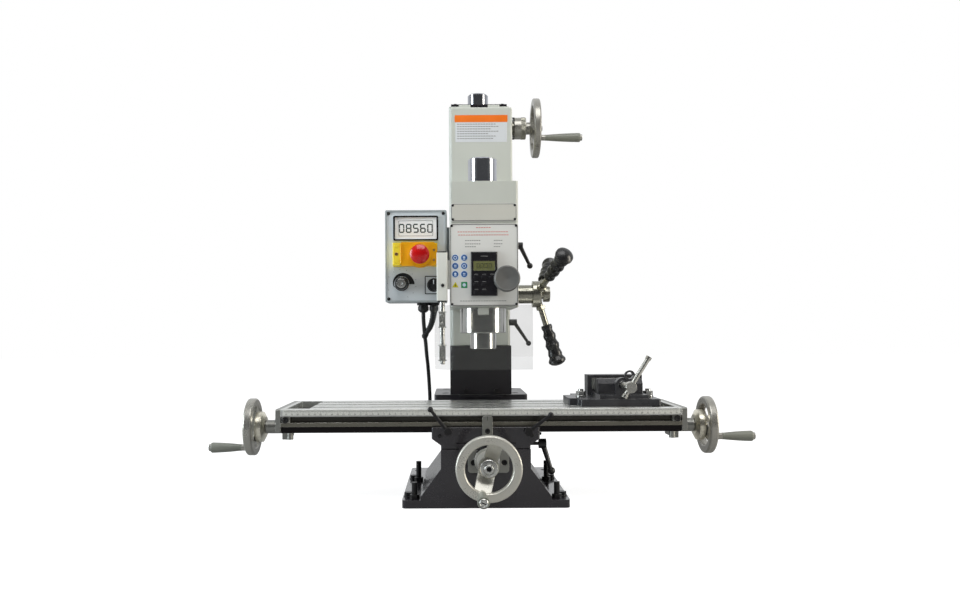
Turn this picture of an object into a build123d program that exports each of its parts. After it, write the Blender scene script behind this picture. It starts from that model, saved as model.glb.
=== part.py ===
from build123d import *
import os
from math import asin, cos, radians, sin, sqrt

# Benchtop milling machine. Millimetres, +Z up, the operator stands at -Y and +X is to the right.
# The origin is on the bench plane, straight under the spindle axis.

os.makedirs("parts", exist_ok=True)

# ---- Driving dimensions ----
running_gap = 0.05  # radial clearance of a shaft in its bore

base_front = -108
base_width = 290
foot_back = 235
foot_thick = 14
pedestal_back = 160
ways_top = 101  # underside of the saddle
neck_half = 77.5
pedestal_foot_half = 113
hold_down_x = 131
hold_down_y = (-50, 200)
hold_down_radius = 6

seat_top = 150
seat_half = 82
column_half = 62.5
column_front = 190
column_back = 335
flange_top = 175
column_top = 771
dovetail_tip = 176  # front face of the column ways

table_length = 700
table_depth = 180
table_top = 170
table_under = 128
table_shift = -7  # the table stands a little left of the spindle at rest
t_slot_pitch = 50

x_screw_z = 130
x_screw_radius = 7
y_screw_z = 89.5
y_screw_radius = 8
z_screw_y = 266
z_screw_radius = 8
z_wheel_z = 743

head_half = 61
head_front = -65
head_back = 156
head_bottom = 347
head_top = 571
slide_half = 58
slide_bottom = 276

spindle_nose_z = 272
quill_bottom = 301
quill_radius = 32
feed_y = 40  # axis of the quill feed pinion, behind the quill
feed_z = 374
pinion_radius = 10
fine_x = 39
fine_z = 396

box_left = -181.5
box_right = -66.5
box_low = 359
box_high = 531
panel_y = 13  # front of the control box lid

guard_x = -74.5
guard_y = -60

vise_screw_x = 246
vise_screw_z = 208


def axis_along(direction, x=0, y=0, z=0):
    """A plane whose normal runs along a direction through a point."""
    sideways = (0, 1, 0) if abs(direction[0]) > 0.5 else (1, 0, 0)
    return Plane(origin=(x, y, z), x_dir=sideways, z_dir=direction)


def block(x, y, z, mode=Mode.ADD):
    """A block between two values on each axis."""
    with BuildSketch(Plane.XY.offset(z[0])) as outline:
        with Locations(((x[0] + x[1]) / 2, (y[0] + y[1]) / 2)):
            Rectangle(x[1] - x[0], y[1] - y[0])
    extrude(outline.sketch, amount=z[1] - z[0], mode=mode)


def bar(axis, radius, start, end, mode=Mode.ADD):
    """A round bar along a plane's normal, between two distances from its origin."""
    with BuildSketch(axis.offset(start)) as outline:
        Circle(radius)
    extrude(outline.sketch, amount=end - start, mode=mode)


def cone(axis, start_radius, end_radius, start, end, mode=Mode.ADD):
    """A tapered round bar along a plane's normal."""
    with BuildSketch(Plane(origin=axis.origin, x_dir=axis.x_dir, z_dir=-axis.y_dir)) as half:
        with BuildLine():
            Polyline((0, start), (start_radius, start), (end_radius, end), (0, end), close=True)
        make_face()
    revolve(half.sketch, axis=Axis(axis.origin, axis.z_dir), mode=mode)


def hexagon(axis, across_flats, start, end):
    """A hexagonal nut or bolt head along a plane's normal."""
    with BuildSketch(axis.offset(start)) as outline:
        RegularPolygon(across_flats / 2, 6, major_radius=False)
    extrude(outline.sketch, amount=end - start)


def prism(plane, points, length, mode=Mode.ADD):
    """A closed outline extruded along its plane's normal."""
    with BuildSketch(plane) as outline:
        with BuildLine():
            Polyline(*points, close=True)
        make_face()
    extrude(outline.sketch, amount=length, mode=mode)


def dome(rim, low, top):
    """An arc from a rim up to the axis, centred on the axis, for a domed end."""
    height = top - low
    radius = (rim**2 + height**2) / (2 * height)
    half_angle = radians(45) if abs(radius) < rim else 0.5 * asin(rim / abs(radius))
    middle = (abs(radius) * sin(half_angle), top - radius * (1 - cos(half_angle)))
    return ThreePointArc((rim, low), middle, (0, top))


def save(piece, name):
    """Label a finished piece and write it."""
    piece.part.label = name
    export_step(piece.part, f"parts/{name}.step")


# ---- Handwheels ----
rim_width = 15  # radial width of a rim
rim_thick = 15
handle_shoulder = 9  # plain length between the rim and the grip
handle_pin_radius = 3.5
grip_gap = 0.1


def turned_plane(axis, angle):
    """A plane turned about its own normal, with +X along a spoke."""
    outward = axis.x_dir * cos(radians(angle)) + axis.y_dir * sin(radians(angle))
    return Plane(origin=axis.origin, x_dir=outward, z_dir=axis.z_dir)


def handle_axis(axis, angle, radius):
    """The axis of a wheel's handle, parallel to the wheel's own axis."""
    turned = turned_plane(axis, angle)
    return Plane(
        origin=turned.from_local_coords((radius, 0, 0)),
        x_dir=turned.x_dir,
        z_dir=turned.z_dir,
    )


def handwheel(axis, outer, hub_back, hub_front, hub_radius, shaft, angle, handle_radius, grip):
    """A dished two-spoke handwheel on a plane's normal, with its handle bolt."""
    turned = turned_plane(axis, angle)
    radial = Plane(origin=turned.origin, x_dir=turned.x_dir, z_dir=-turned.y_dir)
    with BuildSketch(radial) as section:
        with Locations((outer - rim_width / 2, rim_thick / 2)):
            RectangleRounded(rim_width, rim_thick, 3.5)
    revolve(section.sketch, axis=Axis(axis.origin, axis.z_dir))
    bar(axis, hub_radius, hub_back, hub_front)
    inner = outer - rim_width + 3
    for side, width in ((1, 27), (-1, 23)):
        arm = Plane(origin=turned.origin, x_dir=turned.x_dir * side, z_dir=-turned.y_dir * side)
        low = max(hub_back, hub_front - 16)
        with BuildSketch(arm) as profile:
            with BuildLine():
                Polyline(
                    (hub_radius - 5, low),
                    (hub_radius - 5, hub_front - 2),
                    (inner, rim_thick - 2),
                    (inner, 2),
                    close=True,
                )
            make_face()
        extrude(profile.sketch, amount=width / 2, both=True)
    bar(axis, shaft + running_gap, hub_back - 1, hub_front + 1, Mode.SUBTRACT)
    pin = handle_axis(axis, angle, handle_radius)
    end = rim_thick + handle_shoulder + grip
    bar(pin, 6, rim_thick - 4, rim_thick + handle_shoulder)
    bar(pin, handle_pin_radius, rim_thick, end + 1)
    bar(pin, 6.5, end + 0.2, end + 3.2)


def wheel_grip(axis, angle, handle_radius, grip):
    """The tapered grip that turns on a handwheel's handle bolt."""
    pin = handle_axis(axis, angle, handle_radius)
    start = rim_thick + handle_shoulder + grip_gap
    end = rim_thick + handle_shoulder + grip
    with BuildSketch(Plane(origin=pin.origin, x_dir=pin.x_dir, z_dir=-pin.y_dir)) as profile:
        with BuildLine():
            Line((handle_pin_radius + grip_gap, start), (6.2, start))
            Line((6.2, start), (6.2, start + 3))
            Spline((6.2, start + 3), (8.2, start + 0.45 * grip), (9.5, end - 2))
            Line((9.5, end - 2), (8.6, end))
            Line((8.6, end), (handle_pin_radius + grip_gap, end))
            Line((handle_pin_radius + grip_gap, end), (handle_pin_radius + grip_gap, start))
        make_face()
    revolve(profile.sketch, axis=Axis(pin.origin, pin.z_dir))


def lever(pivot, hub_radius, reach, tip, arm_radius, hub_start=0.2):
    """A lock lever: a hub on a plane's normal and a round arm that ends in a ball."""
    bar(pivot, hub_radius, hub_start, reach)
    start = pivot.from_local_coords((0, 0, reach - arm_radius - 1))
    direction = Vector(*tip) - start
    arm = Plane(origin=start, z_dir=direction)
    length = direction.length
    neck = arm_radius * 0.75
    ball = arm_radius * 1.35
    with BuildSketch(Plane(origin=start, x_dir=arm.x_dir, z_dir=-arm.y_dir)) as half:
        with BuildLine():
            Polyline((0, length + ball), (0, 0), (arm_radius, 0), (neck, length - sqrt(ball**2 - neck**2)))
            ThreePointArc((neck, length - sqrt(ball**2 - neck**2)), (ball, length), (0, length + ball))
        make_face()
    revolve(half.sketch, axis=Axis(arm.origin, arm.z_dir))


# ==== Base ====
y_axis = axis_along((0, -1, 0), z=y_screw_z)  # towards the operator
foot_centre = (base_front + foot_back) / 2
stud_places = ((-124, -88), (124, -88), (-124, 82), (124, 82))
nut_places = ((-135, -72), (135, -72), (-134, 100), (134, 100))
column_bolt_places = ((-72, 205), (72, 205), (-72, 322), (72, 322))
channel_low = 76

with BuildPart() as base_casting:
    with BuildSketch(Plane.XY):
        with Locations((0, foot_centre)):
            RectangleRounded(base_width, foot_back - base_front, 8)
    extrude(amount=foot_thick)
    # Pedestal with flared sides
    prism(
        Plane.XZ.offset(-base_front),
        (
            (-pedestal_foot_half, 0),
            (pedestal_foot_half, 0),
            (pedestal_foot_half, 20),
            (neck_half, 68),
            (neck_half, ways_top),
            (-neck_half, ways_top),
            (-neck_half, 68),
            (-pedestal_foot_half, 20),
        ),
        base_front - pedestal_back,
    )
    # Raised seat under the column
    block((-seat_half, seat_half), (pedestal_back - 10, 345), (0, seat_top))
    fillet(base_casting.edges().filter_by(Axis.Z).group_by(Axis.Y)[-1], radius=8)
    # Dovetail ways for the saddle
    prism(
        Plane.XZ.offset(-base_front),
        ((-45, ways_top - 1), (45, ways_top - 1), (52, 111), (-52, 111)),
        base_front - 148,
    )
    # Channel of the cross feed screw, and its bore through the front wall
    block((-17, 17), (base_front + 12, 130), (channel_low, 115), Mode.SUBTRACT)
    bar(y_axis, y_screw_radius + 0.5, -base_front - 13, -base_front + 1, Mode.SUBTRACT)
    # Pockets cast into the underside
    for start, end in ((-92, -12), (12, 138)):
        prism(
            Plane.XZ.offset(-start),
            ((-98, -1), (98, -1), (98, 16), (64, 60), (-64, 60), (-98, 16)),
            start - end,
            Mode.SUBTRACT,
        )
    block((11 - seat_half, seat_half - 11), (171, 334), (-1, seat_top - 14), Mode.SUBTRACT)
    with Locations(*[(x * hold_down_x, y, foot_thick) for x in (-1, 1) for y in hold_down_y]):
        Hole(hold_down_radius, depth=foot_thick + 1)
    with Locations(*[(x, y, foot_thick) for x, y in stud_places]):
        Hole(5 + running_gap, depth=foot_thick + 1)
    with Locations(*[(x, y, foot_thick) for x, y in nut_places]):
        Hole(4 + running_gap, depth=foot_thick + 1)
    with Locations(*[(x, y, seat_top) for x, y in column_bolt_places]):
        Hole(5 + running_gap, depth=12)
save(base_casting, "base_casting")

cover_screw_x = 30.5
cover_screw_z = 183
cover_front = 150
cover_thick = 3

with BuildPart() as base_fixings:
    # Levelling studs with their lock nuts
    for (x, y), height in zip(stud_places, (42, 42, 52, 52)):
        upright = axis_along((0, 0, 1), x, y)
        bar(upright, 5, 1, height)
        hexagon(upright, 15, foot_thick + 0.01, 21)
    # Foot bolts with washers
    for x, y in nut_places:
        upright = axis_along((0, 0, 1), x, y)
        bar(upright, 4, 2, foot_thick + 2)
        bar(upright, 8.5, foot_thick + 0.01, foot_thick + 1.6)
        hexagon(upright, 13, foot_thick + 1.6, 22)
    # Cap screws that hold the column
    for x, y in column_bolt_places:
        upright = axis_along((0, 0, 1), x, y)
        bar(upright, 5, seat_top - 11, flange_top - 9)
        bar(upright, 8, flange_top - 10, flange_top - 1)
    # Button-head screws of the way cover
    for side in (-1, 1):
        forward = axis_along((0, -1, 0), side * cover_screw_x, 0, cover_screw_z)
        bar(forward, 2.5, -cover_front - 12, -cover_front + 1)
        bar(forward, 4.8, -cover_front + 0.01, -cover_front + 3)
save(base_fixings, "base_fixings")

with BuildPart() as y_screw_bracket:
    block((-31, 39), (-120, base_front - 0.01), (63, 100.5))
    fillet(y_screw_bracket.edges().filter_by(Axis.Y), radius=5)
    bar(y_axis, 17, 118, 134)
    with Locations(Plane.XZ.offset(120)):
        with Locations((-21.5, 80), (31, 80)):
            CounterBoreHole(2.75, 5.2, 6, depth=12)
    bar(y_axis, y_screw_radius + running_gap, 100, 140, Mode.SUBTRACT)
save(y_screw_bracket, "y_screw_bracket")

# ==== Column ====
ways_tip_half = 42
ways_root_half = 35

with BuildPart() as column:
    block((-95, 95), (158, 345), (seat_top + 0.01, flange_top))
    fillet(column.edges().filter_by(Axis.Z), radius=6)
    block((-column_half, column_half), (column_front, column_back), (seat_top + 1, column_top))
    fillet(column.edges().filter_by(Axis.Z).group_by(Axis.Z)[-1], radius=4)
    prism(
        Plane.XY.offset(flange_top - 5),
        (
            (-ways_root_half, column_front + 1),
            (ways_root_half, column_front + 1),
            (ways_tip_half, dovetail_tip),
            (-ways_tip_half, dovetail_tip),
        ),
        column_top - flange_top + 5,
    )
    # Lip that the way cover is screwed to
    block((-45, 45), (cover_front + cover_thick, 168), (flange_top - 5, 189))
    # Hollow inside, open at the top, with a slot for the arm of the feed nut
    block((-52, 52), (206, 325), (seat_top + 12, column_top + 1), Mode.SUBTRACT)
    block((-18, 18), (170, 210), (flange_top + 15, column_top + 1), Mode.SUBTRACT)
    with Locations(*[(x, y, flange_top) for x, y in column_bolt_places]):
        CounterBoreHole(5 + running_gap, 8 + running_gap, 10.05, depth=flange_top - seat_top + 1)
    side_bore = axis_along((1, 0, 0), 0, z_screw_y, z_wheel_z)
    bar(side_bore, z_screw_radius + 0.5, 50, 66, Mode.SUBTRACT)
    for side in (-1, 1):
        forward = axis_along((0, -1, 0), side * cover_screw_x, 0, cover_screw_z)
        bar(forward, 2.5 + running_gap, -cover_front - 13, -cover_front, Mode.SUBTRACT)
save(column, "column")

with BuildPart() as column_top_plate:
    block((-58, 58), (191, column_back), (column_top + 0.01, column_top + 5))
    bar(axis_along((0, 0, 1), 0, z_screw_y), 13, column_top - 1, column_top + 6, Mode.SUBTRACT)
    fillet(column_top_plate.edges().filter_by(Axis.Z).group_by(Axis.Y)[-1], radius=5)
save(column_top_plate, "column_top_plate")

z_axis = axis_along((0, 0, 1), 0, z_screw_y)
cap_top = 815

with BuildPart() as leadscrew_cap:
    bar(z_axis, 22, column_top + 5.02, cap_top)
    chamfer(leadscrew_cap.edges().group_by(Axis.Z)[-1], length=2.5)
    bar(z_axis, 17, column_top + 5, cap_top - 5, Mode.SUBTRACT)
save(leadscrew_cap, "leadscrew_cap")

with BuildPart() as way_cover:
    # Stiff rubber apron that keeps chips off the lower ways
    block((-62, 62), (cover_front, cover_front + cover_thick - 0.01), (flange_top + 1, slide_bottom - 1))
    for side in (-1, 1):
        forward = axis_along((0, -1, 0), side * cover_screw_x, 0, cover_screw_z)
        bar(forward, 2.5 + running_gap, -cover_front - 4, -cover_front + 1, Mode.SUBTRACT)
save(way_cover, "way_cover")

# ==== Elevating screw and its handwheel ====
bevel_far = 21
bevel_near = 14

with BuildPart() as z_leadscrew:
    bar(z_axis, z_screw_radius, flange_top + 10, 798)
    cone(z_axis, bevel_far - 0.6, bevel_near - 0.6, z_wheel_z - bevel_far, z_wheel_z - bevel_near)
    bar(z_axis, bevel_far - 0.6, z_wheel_z - bevel_far - 5, z_wheel_z - bevel_far)
    hexagon(z_axis, 24, column_top + 6, column_top + 16)
save(z_leadscrew, "z_leadscrew")

side_axis = axis_along((1, 0, 0), 0, z_screw_y, z_wheel_z)
bearing_end = 77

with BuildPart() as z_wheel_bearing:
    bar(side_axis, 19, column_half + 0.01, column_half + 6)
    bar(side_axis, 15, column_half + 6, bearing_end)
    bar(side_axis, z_screw_radius + running_gap, 50, 80, Mode.SUBTRACT)
save(z_wheel_bearing, "z_wheel_bearing")

z_wheel_x = 117
z_wheel_angle = -144
z_handle_radius = 50
z_wheel_outer = 63
z_grip_length = 74

with BuildPart() as z_wheel_shaft:
    bar(side_axis, z_screw_radius, bevel_near, z_wheel_x + 13)
    cone(side_axis, bevel_near - 0.6, bevel_far - 0.6, bevel_near, bevel_far)
    bar(side_axis, bevel_far - 0.6, bevel_far, bevel_far + 5)
save(z_wheel_shaft, "z_wheel_shaft")

z_wheel_axis = Plane(origin=(z_wheel_x, z_screw_y, z_wheel_z), x_dir=(0, 1, 0), z_dir=(1, 0, 0))

with BuildPart() as z_handwheel:
    handwheel(
        z_wheel_axis,
        z_wheel_outer,
        -16,
        11,
        13,
        z_screw_radius,
        z_wheel_angle,
        z_handle_radius,
        z_grip_length,
    )
    # Graduated collar behind the wheel
    bar(z_wheel_axis, 23, bearing_end + 0.5 - z_wheel_x, 103 - z_wheel_x)
    bar(z_wheel_axis, z_screw_radius + running_gap, -45, 0, Mode.SUBTRACT)
save(z_handwheel, "z_handwheel")

with BuildPart() as z_grip:
    wheel_grip(z_wheel_axis, z_wheel_angle, z_handle_radius, z_grip_length)
save(z_grip, "z_grip")

# ==== Saddle ====
saddle_front = -105
saddle_back = 90
saddle_low = ways_top + 0.2
saddle_half = 93.5
saddle_top = table_under - 0.2
apron_top = 139

with BuildPart() as saddle_casting:
    prism(
        Plane.XZ.offset(-saddle_front),
        (
            (-neck_half, saddle_low),
            (neck_half, saddle_low),
            (neck_half, 108),
            (saddle_half, 119.5),
            (saddle_half, saddle_top),
            (-saddle_half, saddle_top),
            (-saddle_half, 119.5),
            (-neck_half, 108),
        ),
        saddle_front - saddle_back,
    )
    # Apron in front of the table, which carries the pointer and the table locks
    block((-saddle_half, saddle_half), (saddle_front, -92), (119.5, apron_top))
    fillet(saddle_casting.edges().filter_by(Axis.Z).group_by(Axis.Y)[0], radius=4)
    # Dovetail ways for the table
    prism(
        Plane.YZ.offset(-saddle_half),
        ((-45, saddle_top - 1), (45, saddle_top - 1), (52, 139.8), (-52, 139.8)),
        2 * saddle_half,
    )
    # Groove that rides on the base ways
    prism(
        Plane.XZ.offset(-saddle_front + 1),
        ((-45.4, ways_top - 1), (45.4, ways_top - 1), (52.7, 111.3), (-52.7, 111.3)),
        saddle_front - saddle_back - 2,
        Mode.SUBTRACT,
    )
    # Channel of the table screw
    block((-95, 95), (-11, 11), (121.5, 141), Mode.SUBTRACT)
    fillet(saddle_casting.edges().filter_by(Axis.X).group_by(Axis.Y)[0], radius=1.5)
save(saddle_casting, "saddle_casting")

with BuildPart() as saddle_pointer:
    block((-6, 12), (saddle_front - 4, saddle_front - 0.05), (120, 159))
    chamfer(saddle_pointer.edges().filter_by(Axis.Y).group_by(Axis.Z)[-1], length=3)
    with Locations(Plane.XZ.offset(-saddle_front + 4)):
        with Locations((3, 133)):
            Hole(2.6, depth=4)
save(saddle_pointer, "saddle_pointer")

with BuildPart() as leadscrew_nuts:
    block((-15, 15), (-10.8, 10.8), (121.7, 139.5))
    bar(
        axis_along((1, 0, 0), 0, 0, x_screw_z),
        x_screw_radius + running_gap,
        -16,
        16,
        Mode.SUBTRACT,
    )
    block((-14, 14), (10, 40), (78, 111))
    bar(y_axis, y_screw_radius + running_gap, -41, -9, Mode.SUBTRACT)
save(leadscrew_nuts, "leadscrew_nuts")

lever_front = saddle_front - 0.2

with BuildPart() as x_lock_left:
    pivot = axis_along((0, -1, 0), -65, lever_front, 133)
    lever(pivot, 6.5, 14, (-95, lever_front - 12, 171), 3.6)
save(x_lock_left, "x_lock_left")

with BuildPart() as x_lock_right:
    pivot = axis_along((0, -1, 0), 73, lever_front, 132)
    lever(pivot, 6.5, 14, (111, lever_front - 12, 161), 3.6)
save(x_lock_right, "x_lock_right")

with BuildPart() as y_lock_lever:
    pivot = axis_along((1, 0, 0), neck_half + 0.2, -60, 104.7)
    bar(pivot, 3, 0, 24)
    lever(pivot, 8.5, 31, (118, -60, 56), 5, hub_start=18)
save(y_lock_lever, "y_lock_lever")

# ==== Table ====
table_half = table_length / 2
table_left = table_shift - table_half
table_right = table_shift + table_half
table_front = -table_depth / 2
pocket_length = 40

with BuildPart() as table:
    prism(
        Plane.YZ.offset(table_left),
        (
            (table_front + 6, table_under),
            (-46.1, table_under),
            (-52.8, 140.1),
            (52.8, 140.1),
            (46.1, table_under),
            (-table_front - 6, table_under),
            (-table_front - 6, 139.5),
            (-table_front, 139.5),
            (-table_front, table_top),
            (table_front, table_top),
            (table_front, 157),
            (table_front + 10, 157),
            (table_front + 10, 146.5),
            (table_front, 146.5),
            (table_front, 139.5),
            (table_front + 6, 139.5),
        ),
        table_length,
    )
    # T-slots run between the coolant pockets at the two ends
    for row in (-1, 0, 1):
        middle = row * t_slot_pitch
        span = (table_left + 8 + pocket_length / 2, table_right - 8 - pocket_length / 2)
        block(span, (middle - 6, middle + 6), (160, table_top + 1), Mode.SUBTRACT)
        block(span, (middle - 10, middle + 10), (153, 161), Mode.SUBTRACT)
    for low in (table_left + 8, table_right - 8 - pocket_length):
        block((low, low + pocket_length), (-74, 74), (153, table_top + 1), Mode.SUBTRACT)
    chamfer(table.edges().filter_by(Axis.X).group_by(Axis.Z)[-1].sort_by(Axis.Y)[0], length=1)
    chamfer(table.edges().filter_by(Axis.X).group_by(Axis.Z)[-1].sort_by(Axis.Y)[-1], length=1)
save(table, "table")

with BuildPart() as table_scale:
    block(
        (table_left + 4, table_right - 4),
        (table_front - 0.8, table_front - 0.01),
        (159, 168),
    )
save(table_scale, "table_scale")

bracket_out = 359
neck_out = 394
x_axes = (
    Plane(origin=(table_shift, 0, x_screw_z), x_dir=(0, 1, 0), z_dir=(1, 0, 0)),
    Plane(origin=(table_shift, 0, x_screw_z), x_dir=(0, 1, 0), z_dir=(-1, 0, 0)),
)

with BuildPart() as table_end_brackets:
    for side, axis in zip((1, -1), x_axes):
        inner = table_shift + side * (table_half + 0.01)
        outer = table_shift + side * bracket_out
        block(sorted((inner, outer)), (table_front, -table_front), (130, table_top))
        block(sorted((inner, outer)), (-32, 32), (110, 131))
        bar(axis, 12.5, bracket_out - 1, neck_out)
        bar(axis, x_screw_radius + running_gap, 340, 400, Mode.SUBTRACT)
    fillet(table_end_brackets.edges().filter_by(Axis.X).group_by(Axis.Z)[-1], radius=3)
save(table_end_brackets, "table_end_brackets")

with BuildPart() as table_stops:
    for side in (-1, 1):
        middle = table_shift + side * 341
        block((middle - 7, middle + 7), (table_front + 0.5, table_front + 9.9), (146.7, 156.8))
        forward = axis_along((0, -1, 0), middle, 0, 151.7)
        bar(forward, 4.2, -table_front - 1, -table_front + 3)
        under = axis_along((0, 0, 1), table_shift + side * 335, -80)
        bar(under, 5.5, 116.5, table_under - 0.05)
save(table_stops, "table_stops")

with BuildPart() as x_leadscrew:
    bar(x_axes[0], x_screw_radius, -424, 424)
save(x_leadscrew, "x_leadscrew")

x_wheel_face = 412
x_wheel_axes = [
    Plane(origin=(table_shift + side * x_wheel_face, 0, x_screw_z), x_dir=(0, 1, 0), z_dir=(side, 0, 0))
    for side in (1, -1)
]
# Angles from +Y, turning by the right-hand rule about the outward normal
x_wheel_angles = (-155, 117)
x_handle_radius = 40
wheel_outer = 52.5
grip_length = 55

with BuildPart() as x_handwheels:
    for axis, angle in zip(x_wheel_axes, x_wheel_angles):
        handwheel(
            axis,
            wheel_outer,
            -0.5,
            12.5,
            17,
            x_screw_radius,
            angle,
            x_handle_radius,
            grip_length,
        )
save(x_handwheels, "x_handwheels")

with BuildPart() as x_dials:
    for axis in x_axes:
        cone(axis, 19, 28, neck_out + 1, neck_out + 6)
        bar(axis, 28, neck_out + 6, x_wheel_face - 1)
        bar(axis, x_screw_radius + running_gap, neck_out, x_wheel_face, Mode.SUBTRACT)
save(x_dials, "x_dials")

with BuildPart() as x_grip_right:
    wheel_grip(x_wheel_axes[0], x_wheel_angles[0], x_handle_radius, grip_length)
save(x_grip_right, "x_grip_right")

with BuildPart() as x_grip_left:
    wheel_grip(x_wheel_axes[1], x_wheel_angles[1], x_handle_radius, grip_length)
save(x_grip_left, "x_grip_left")

# ==== Cross feed ====
y_wheel_face = 232
y_wheel_axis = Plane(origin=(0, -y_wheel_face, y_screw_z), x_dir=(1, 0, 0), z_dir=(0, -1, 0))
y_wheel_angle = -105.8
y_shaft_radius = 7

with BuildPart() as y_leadscrew:
    bar(y_axis, y_screw_radius, -126, 135)
    bar(y_axis, y_shaft_radius, 134, 224)
save(y_leadscrew, "y_leadscrew")

with BuildPart() as y_dial:
    bar(y_axis, 16, 136, 140)
    bar(y_axis, 21, 140, 160)
    bar(y_axis, y_shaft_radius + running_gap, 130, 165, Mode.SUBTRACT)
save(y_dial, "y_dial")

with BuildPart() as y_handwheel:
    handwheel(
        y_wheel_axis,
        wheel_outer,
        161 - y_wheel_face,
        -6,
        17,
        y_shaft_radius,
        y_wheel_angle,
        x_handle_radius,
        grip_length,
    )
save(y_handwheel, "y_handwheel")

with BuildPart() as y_grip:
    wheel_grip(y_wheel_axis, y_wheel_angle, x_handle_radius, grip_length)
save(y_grip, "y_grip")

# ==== Head ====
spindle_axis = axis_along((0, 0, 1))
fine_axis = axis_along((0, -1, 0), fine_x, 0, fine_z)
feed_axis = axis_along((1, 0, 0), 0, feed_y, feed_z)

with BuildPart() as head_slide:
    block((-slide_half, slide_half), (head_back + 0.01, column_front - 0.2), (slide_bottom, head_top))
    fillet(head_slide.edges().filter_by(Axis.Z).group_by(Axis.Y)[0], radius=3)
    prism(
        Plane.XY.offset(slide_bottom - 1),
        (
            (-35.8, column_front + 0.3),
            (35.8, column_front + 0.3),
            (42.6, dovetail_tip - 0.3),
            (-42.6, dovetail_tip - 0.3),
        ),
        head_top - slide_bottom + 2,
        Mode.SUBTRACT,
    )
    # Arm through the column slot, with the nut of the elevating screw
    block((-16, 16), (dovetail_tip - 4, z_screw_y + 18), (420, 450))
    bar(z_axis, z_screw_radius + running_gap, 419, 451, Mode.SUBTRACT)
save(head_slide, "head_slide")

with BuildPart() as head_casting:
    block((-head_half, head_half), (head_front, head_back), (head_bottom, head_top))
    fillet(head_casting.edges().filter_by(Axis.Z), radius=5)
    # Depth stop boss under the front edge
    block((-11, 8), (head_front + 1, -46), (334, head_bottom + 1))
    bar(spindle_axis, quill_radius + running_gap, 330, head_top - 9, Mode.SUBTRACT)
    bar(spindle_axis, 24, head_top - 10, head_top + 1, Mode.SUBTRACT)
    # Bores of the feed pinion shaft, the fine feed shaft and its worm
    bar(feed_axis, 16.5, -18, head_half + 1, Mode.SUBTRACT)
    bar(fine_axis, 4.5 + running_gap, -76, -head_front + 1, Mode.SUBTRACT)
    bar(fine_axis, 9.2, -56, -24, Mode.SUBTRACT)
    # Space for the drive under the motor, and its way through to the spindle
    block((-51, 51), (62, 146), (362, head_top + 1), Mode.SUBTRACT)
    block((-22, 22), (0, 70), (530, 560), Mode.SUBTRACT)
save(head_casting, "head_casting")

with BuildPart() as front_plates:
    block((-60.5, 60.5), (head_front - 2, head_front - 0.01), (349, 495))
    block((-58.5, 58.5), (head_front - 2, head_front - 0.01), (499, 531))
    fillet(front_plates.edges().filter_by(Axis.Y), radius=3)
    bar(fine_axis, 8, -head_front - 1, -head_front + 3, Mode.SUBTRACT)
save(front_plates, "front_plates")

with BuildPart() as depth_display:
    block((-23.5, 23.5), (head_front - 7, head_front - 2.01), (367, 445))
    fillet(depth_display.edges().group_by(Axis.Y)[0], radius=1.5)
save(depth_display, "depth_display")

cover_top = 734

with BuildPart() as motor_cover:
    block((-59.5, 59.5), (56, 172), (head_top + 0.01, cover_top))
    fillet(motor_cover.edges().filter_by(Axis.Z), radius=4)
    fillet(motor_cover.edges().group_by(Axis.Z)[-1], radius=2.5)
    block((-56.5, 56.5), (59, 169), (head_top, cover_top - 3), Mode.SUBTRACT)
save(motor_cover, "motor_cover")

motor_y = 113

with BuildPart() as spindle_motor:
    motor_axis = axis_along((0, 0, 1), 0, motor_y)
    bar(motor_axis, 46, 576, 722)
    bar(motor_axis, 8, 545, 577)
    bar(motor_axis, 25, 548, 566)
save(spindle_motor, "spindle_motor")

with BuildPart() as drawbar_cap:
    bar(spindle_axis, 27, head_top + 0.01, 622)
    chamfer(drawbar_cap.edges().group_by(Axis.Z)[-1], length=2)
    bar(spindle_axis, 22, head_top, 617, Mode.SUBTRACT)
save(drawbar_cap, "drawbar_cap")

with BuildPart() as fine_feed_knob:
    bar(fine_axis, 23, 76, 100)
    chamfer(fine_feed_knob.edges().group_by(Axis.Y)[0], length=2)
    bar(fine_axis, 7.5, 66, 77)
    bar(fine_axis, 4.5, -75, 70)
    bar(fine_axis, 7.6, -52, -28)
save(fine_feed_knob, "fine_feed_knob")

with BuildPart() as quill_lock_lever:
    pivot = axis_along((1, 0, 0), head_half, 0, 462)
    lever(pivot, 6.5, 13, (87, 0, 425), 4)
save(quill_lock_lever, "quill_lock_lever")

with BuildPart() as head_lock_lever:
    pivot = axis_along((1, 0, 0), slide_half, 172, 322)
    lever(pivot, 6.5, 17, (99, 172, 279), 4)
save(head_lock_lever, "head_lock_lever")

# ==== Quill and spindle ====
with BuildPart() as quill:
    bar(spindle_axis, 42, quill_bottom, head_bottom - 0.2)
    chamfer(quill.edges().group_by(Axis.Z)[0], length=1.5)
    bar(spindle_axis, quill_radius, quill_bottom + 1, 460)
    bar(spindle_axis, 20 + running_gap, quill_bottom - 1, 461, Mode.SUBTRACT)
    # Flat on the back that carries the rack
    block((-12, 12), (29.5, 34), (head_bottom + 1, 455), Mode.SUBTRACT)
save(quill, "quill")

taper_radius = 12.05
taper_top = 372

with BuildPart() as spindle:
    bar(spindle_axis, 24, spindle_nose_z, quill_bottom - 0.2)
    chamfer(spindle.edges().group_by(Axis.Z)[0], length=1)
    bar(spindle_axis, 20, quill_bottom - 1, 500)
    bar(spindle_axis, 12, 499, 610)
    bar(spindle_axis, taper_radius, spindle_nose_z - 1, taper_top, Mode.SUBTRACT)
    cone(spindle_axis, 16.5, taper_radius - 1, spindle_nose_z - 1, spindle_nose_z + 30, Mode.SUBTRACT)
    bar(spindle_axis, 6.5, taper_top - 1, 611, Mode.SUBTRACT)
save(spindle, "spindle")

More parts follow.
